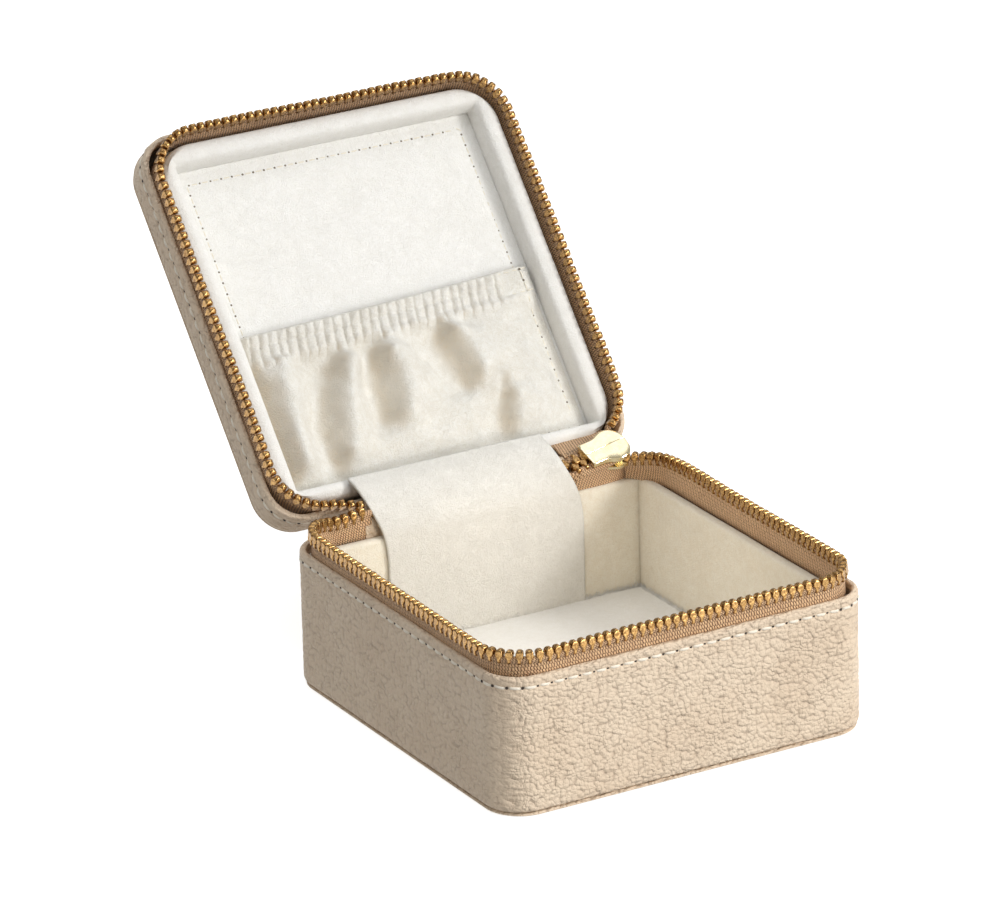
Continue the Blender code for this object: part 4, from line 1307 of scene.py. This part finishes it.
def pull():
    """The pull: an eye on the pin, a narrow neck and a blade that droops behind the rim."""
    rest = math.radians(84.0)
    along = SLIDER_AXIS * math.sin(rest) + OUT_AXIS * math.cos(rest)
    thin = SLIDER_AXIS * math.cos(rest) - OUT_AXIS * math.sin(rest)
    pivot = SLIDER_CENTRE + SLIDER_AXIS * PIN_X + OUT_AXIS * PIN_Y
    line = smooth_line([(1.0, 0.95), (2.5, 0.95), (4.0, 1.0), (5.6, 1.35), (7.5, 1.7), (10.0, 1.75),
                        (12.2, 1.6), (13.3, 1.1), (13.7, 0.5)], 44)
    rows = []
    for t, half in line:
        sink = smoothstep(1.5, 9.0, t)
        centre = pivot + along * t + np.array([0.0, 0.9, -3.2]) * sink
        row = []
        for k in range(20):
            angle = 2 * math.pi * (k + 0.5) / 20
            c, s = math.cos(angle), math.sin(angle)
            w = math.copysign(abs(c) ** 0.5, c) * half
            h = math.copysign(abs(s) ** 0.5, s) * 0.5
            row.append(centre + ACROSS_AXIS * w + thin * h)
        rows.append(row)
    blade = outward(cap_ends(grid_object("pull_tab_blade", np.array(rows), wrap_v=True)))
    rows = []
    for k in range(24):
        angle = 2 * math.pi * k / 24
        ring_out = along * math.cos(angle) + thin * math.sin(angle)
        rows.append([pivot + ring_out * r + ACROSS_AXIS * w
                     for r, w in ((0.8, -0.9), (1.25, -0.9), (1.3, 0.0), (1.25, 0.9), (0.8, 0.9),
                                  (0.75, 0.0))])
    eye = outward(grid_object("eye", np.array(rows), wrap_u=True, wrap_v=True))
    obj = join("pull_tab_blade", [blade, eye])
    finish_piece(hard_edges(obj, 40), GOLD, "pull", "gold", "pull_tab")


def dive(x):
    """How far the meshed zip sinks behind the panel at its left end."""
    return np.array([0.0, 3.6, -2.6]) * float(smoothstep(-8.0, -12.6, x))


MESHED_PITCH = 2.1


def meshed_zip():
    """The few meshed teeth between the panel and the slider, with the tape beside them."""
    verts, faces = [], []
    for index in range(6):
        for side in (-1, 1):
            x = -13.2 + index * MESHED_PITCH + (MESHED_PITCH / 2 if side > 0 else 0.0)
            if x > -1.5:
                continue
            centre = from_slider(np.array([x, 0.0, side * 1.75])) + dive(x)
            add_tooth(centre, SLIDER_AXIS, OUT_AXIS * 1.1, -side * ACROSS_AXIS * 0.95, verts, faces, 0.0)
    row = mesh_object("rear_zip_row", verts, faces)
    finish_piece(row, BRASS, "rear_zip", "brass", "rear_zip_teeth")
    section = [(-0.25, 1.3), (-0.5, 1.7), (-0.62, 2.1), (-0.45, 2.5), (-0.2, 2.8), (-0.18, 4.2), (0.18, 4.2),
               (0.2, 2.8), (0.45, 2.5), (0.62, 2.1), (0.5, 1.7), (0.25, 1.3)]
    for side, node in ((-1, "rear_zip_tape_lower"), (1, "rear_zip_tape_upper")):
        xs = np.linspace(-14.5, 1.0, 26)
        points = np.array([from_slider([(x, y, side * z) for y, z in section]) + dive(x) for x in xs])
        uv = np.meshgrid(xs, path_lengths(points[0], closed=True), indexing="ij")
        obj = outward(cap_ends(grid_object(node + "_weave", points, uv, wrap_v=True)))
        finish_piece(obj, TAPE, "rear_zip", "tape", node)


def woven_strip(name, edges, count, sag):
    """A strip of tape between two edge lines; edges are two lists of points, lower and upper."""
    lower, upper = [smooth_line(edge, 46) for edge in edges]
    rows = []
    for a, b in zip(lower, upper):
        row = []
        for share in np.linspace(0, 1, count):
            bow = sag * 4 * share * (1 - share)
            row.append(a + (b - a) * share + np.array([0.0, bow, 0.0]))
        rows.append(row)
    points = np.array(rows)
    uv = np.meshgrid(path_lengths(lower), path_lengths(points[0]), indexing="ij")
    obj = grid_object(name, points, uv)
    solidify(obj, 0.5, 0.0)
    outward(obj)
    finish_piece(obj, TAPE, None, "tape")
    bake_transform(obj)


def rear_tapes():
    lower = [(23.5, 48.6, 30.9), (27.0, 48.0, 30.9), (31.0, 48.0, 30.9), (37.0, 48.0, 30.9),
             (41.0, 48.4, 30.9), (44.4, 49.8, 30.9)]
    upper = [(23.5, 49.4, 36.4), (26.0, 47.6, 36.9), (28.5, 46.2, 36.9), (31.0, 45.7, 36.9),
             (35.0, 45.8, 37.2), (39.5, 46.9, 37.1), (42.2, 48.2, 36.4), (44.4, 49.8, 35.2)]
    woven_strip("rear_tape_to_base", (lower, upper), 12,
                0.3)
    lid_edge = [(x, *swung(46.9, 46.2)) for x in (27.0, 31.0, 35.0, 39.0)]
    lid_edge.append((41.5, *swung(46.2, 46.2)))
    chain_edge = [(27.2, 51.0, 39.4), (31.0, 51.6, 40.2), (35.0, 52.0, 40.9), (38.5, 52.0, 41.4),
                  (41.5, 51.9, 41.6)]
    woven_strip("rear_tape_to_lid", (chain_edge, lid_edge), 10,
                0.0)


def hidden_stops():
    """The small metal stops that end the zip under the panel."""
    for name, node, body, centre, size in (
            ("base_zip_stop", "base_top_stop", "base", (-26.4, 50.6, 37.3), (1.6, 1.2, 1.8)),
            ("lid_zip_stop", "lid_top_stop", "lid", (-26.4, 54.2, 40.7), (1.6, 1.8, 1.3)),
            ("zip_end_stop", "zip_bottom_stop", "rear_zip", (26.3, 50.0, 37.2), (1.7, 1.8, 1.2))):
        centre, size = np.array(centre), np.array(size)
        obj = block(name, centre - size / 2, centre + size / 2)
        finish_piece(obj, BRASS, body, "brass", node)


# ------------------------------------------------------------ camera and light

VIEW_ANGLES = (-29.517, 21.323, -1.535)
VIEW_TARGET = (-19.735, 0.0, 68.476)
VIEW_DISTANCE = 1678.665
SENSOR = 36.0
LENS_PER_SENSOR = 7.228


def camera():
    """Camera from its azimuth, elevation and roll round a target on the case."""
    data = bpy.data.cameras.new("camera")
    data.sensor_width = SENSOR
    data.lens = LENS_PER_SENSOR * SENSOR
    azimuth, elevation, roll = (math.radians(a) for a in VIEW_ANGLES)
    back = Vector((math.sin(azimuth) * math.cos(elevation),
                   -math.cos(azimuth) * math.cos(elevation), math.sin(elevation)))
    right = (-back).cross(Vector((0, 0, 1))).normalized()
    up = right.cross(-back)
    right_r = right * math.cos(roll) + up * math.sin(roll)
    up_r = up * math.cos(roll) - right * math.sin(roll)
    matrix = Matrix((right_r, up_r, back)).transposed().to_4x4()
    matrix.translation = (Vector(VIEW_TARGET) + back * VIEW_DISTANCE) * MM
    obj = bpy.data.objects.new("camera", data)
    obj.matrix_world = matrix
    data.clip_start = 0.05
    data.clip_end = 20.0
    bpy.context.scene.collection.objects.link(obj)
    bpy.context.scene.camera = obj


CENTRE = (0, 0, 0.05)
WHITE = (1, 1, 1)
LIGHTS = [
    # name, place, target, side, power, colour
    ("key", (1.2, -1.45, 1.2), CENTRE, 0.5, 24.0, (1.0, 0.99, 0.97)),
    ("front", (0.4, -1.7, 0.2), CENTRE, 0.8, 13.5, WHITE),
    ("top", (0.75, 0.5, 1.5), (0.02, 0.03, 0.05), 1.3, 5.5, WHITE),
    ("sky", (-0.35, -0.1, 1.6), CENTRE, 1.0, 5.0, (0.92, 0.96, 1.0)),
    ("bounce", (-0.012, -0.012, 0.042), (0.045, 0.03, 0.016), 0.03, 0.01, (1.0, 0.87, 0.7)),
]
WORLD_COLOUR = (1.0, 0.985, 0.96, 1.0)
WORLD_STRENGTH = 0.385


def area_light(name, place, target, side, power, colour):
    data = bpy.data.lights.new(name, "AREA")
    data.shape = "RECTANGLE"
    data.size = data.size_y = side
    data.energy = power
    data.color = colour
    obj = bpy.data.objects.new(name, data)
    obj.location = place
    obj.rotation_euler = (Vector(target) - Vector(place)).to_track_quat("-Z", "Y").to_euler()
    obj.visible_camera = False
    bpy.context.scene.collection.objects.link(obj)


def studio():
    world = bpy.data.worlds.new("studio")
    bpy.context.scene.world = world
    world.use_nodes = True
    back = world.node_tree.nodes["Background"]
    back.inputs["Color"].default_value = WORLD_COLOUR
    back.inputs["Strength"].default_value = WORLD_STRENGTH
    for light in LIGHTS:
        area_light(*light)
    scene = bpy.context.scene
    scene.view_settings.view_transform = "Standard"
    bm = bmesh.new()
    bmesh.ops.create_grid(bm, x_segments=24, y_segments=24, size=4.0)
    mesh = bpy.data.meshes.new("floor")
    bm.to_mesh(mesh)
    bm.free()
    floor = bpy.data.objects.new("floor", mesh)
    floor.location.z = -0.0001
    scene.collection.objects.link(floor)
    n = Nodes("floor_paper")
    grain = n.noise(n.object_mm(), 0.6, 3.0)
    colour = n.mix(grain, (0.78, 0.78, 0.77, 1), (0.82, 0.82, 0.81, 1))
    floor.data.materials.append(n.finish(colour, 0.9, n.bump(grain, 0.02), Specular_IOR_Level=0.1,
                                         Emission_Color=(1.0, 1.0, 1.0, 1.0), Emission_Strength=0.7))
    floor.visible_diffuse = False


def dress_frame():
    """Materials for the CAD nodes that stay: the boards inside the leather."""
    for node in ("base_shell", "lid_board"):
        obj = frame["nodes"][node]
        obj.data.materials.clear()
        obj.data.materials.append(BOARD)


camera()
studio()
dress_frame()
base_wall()
lid_wall()
end_panels()
zip_pieces()
for side in ("front", "left", "rear", "right"):
    lining_card("base_lining_%s_card" % side, side, "base_lining_" + side)
floor_cushion()
lid_ledge()
lid_floor()
lid_pocket()
hinge_panel()
spine()
meshed_zip()
rear_tapes()
hidden_stops()
slider()
pull()
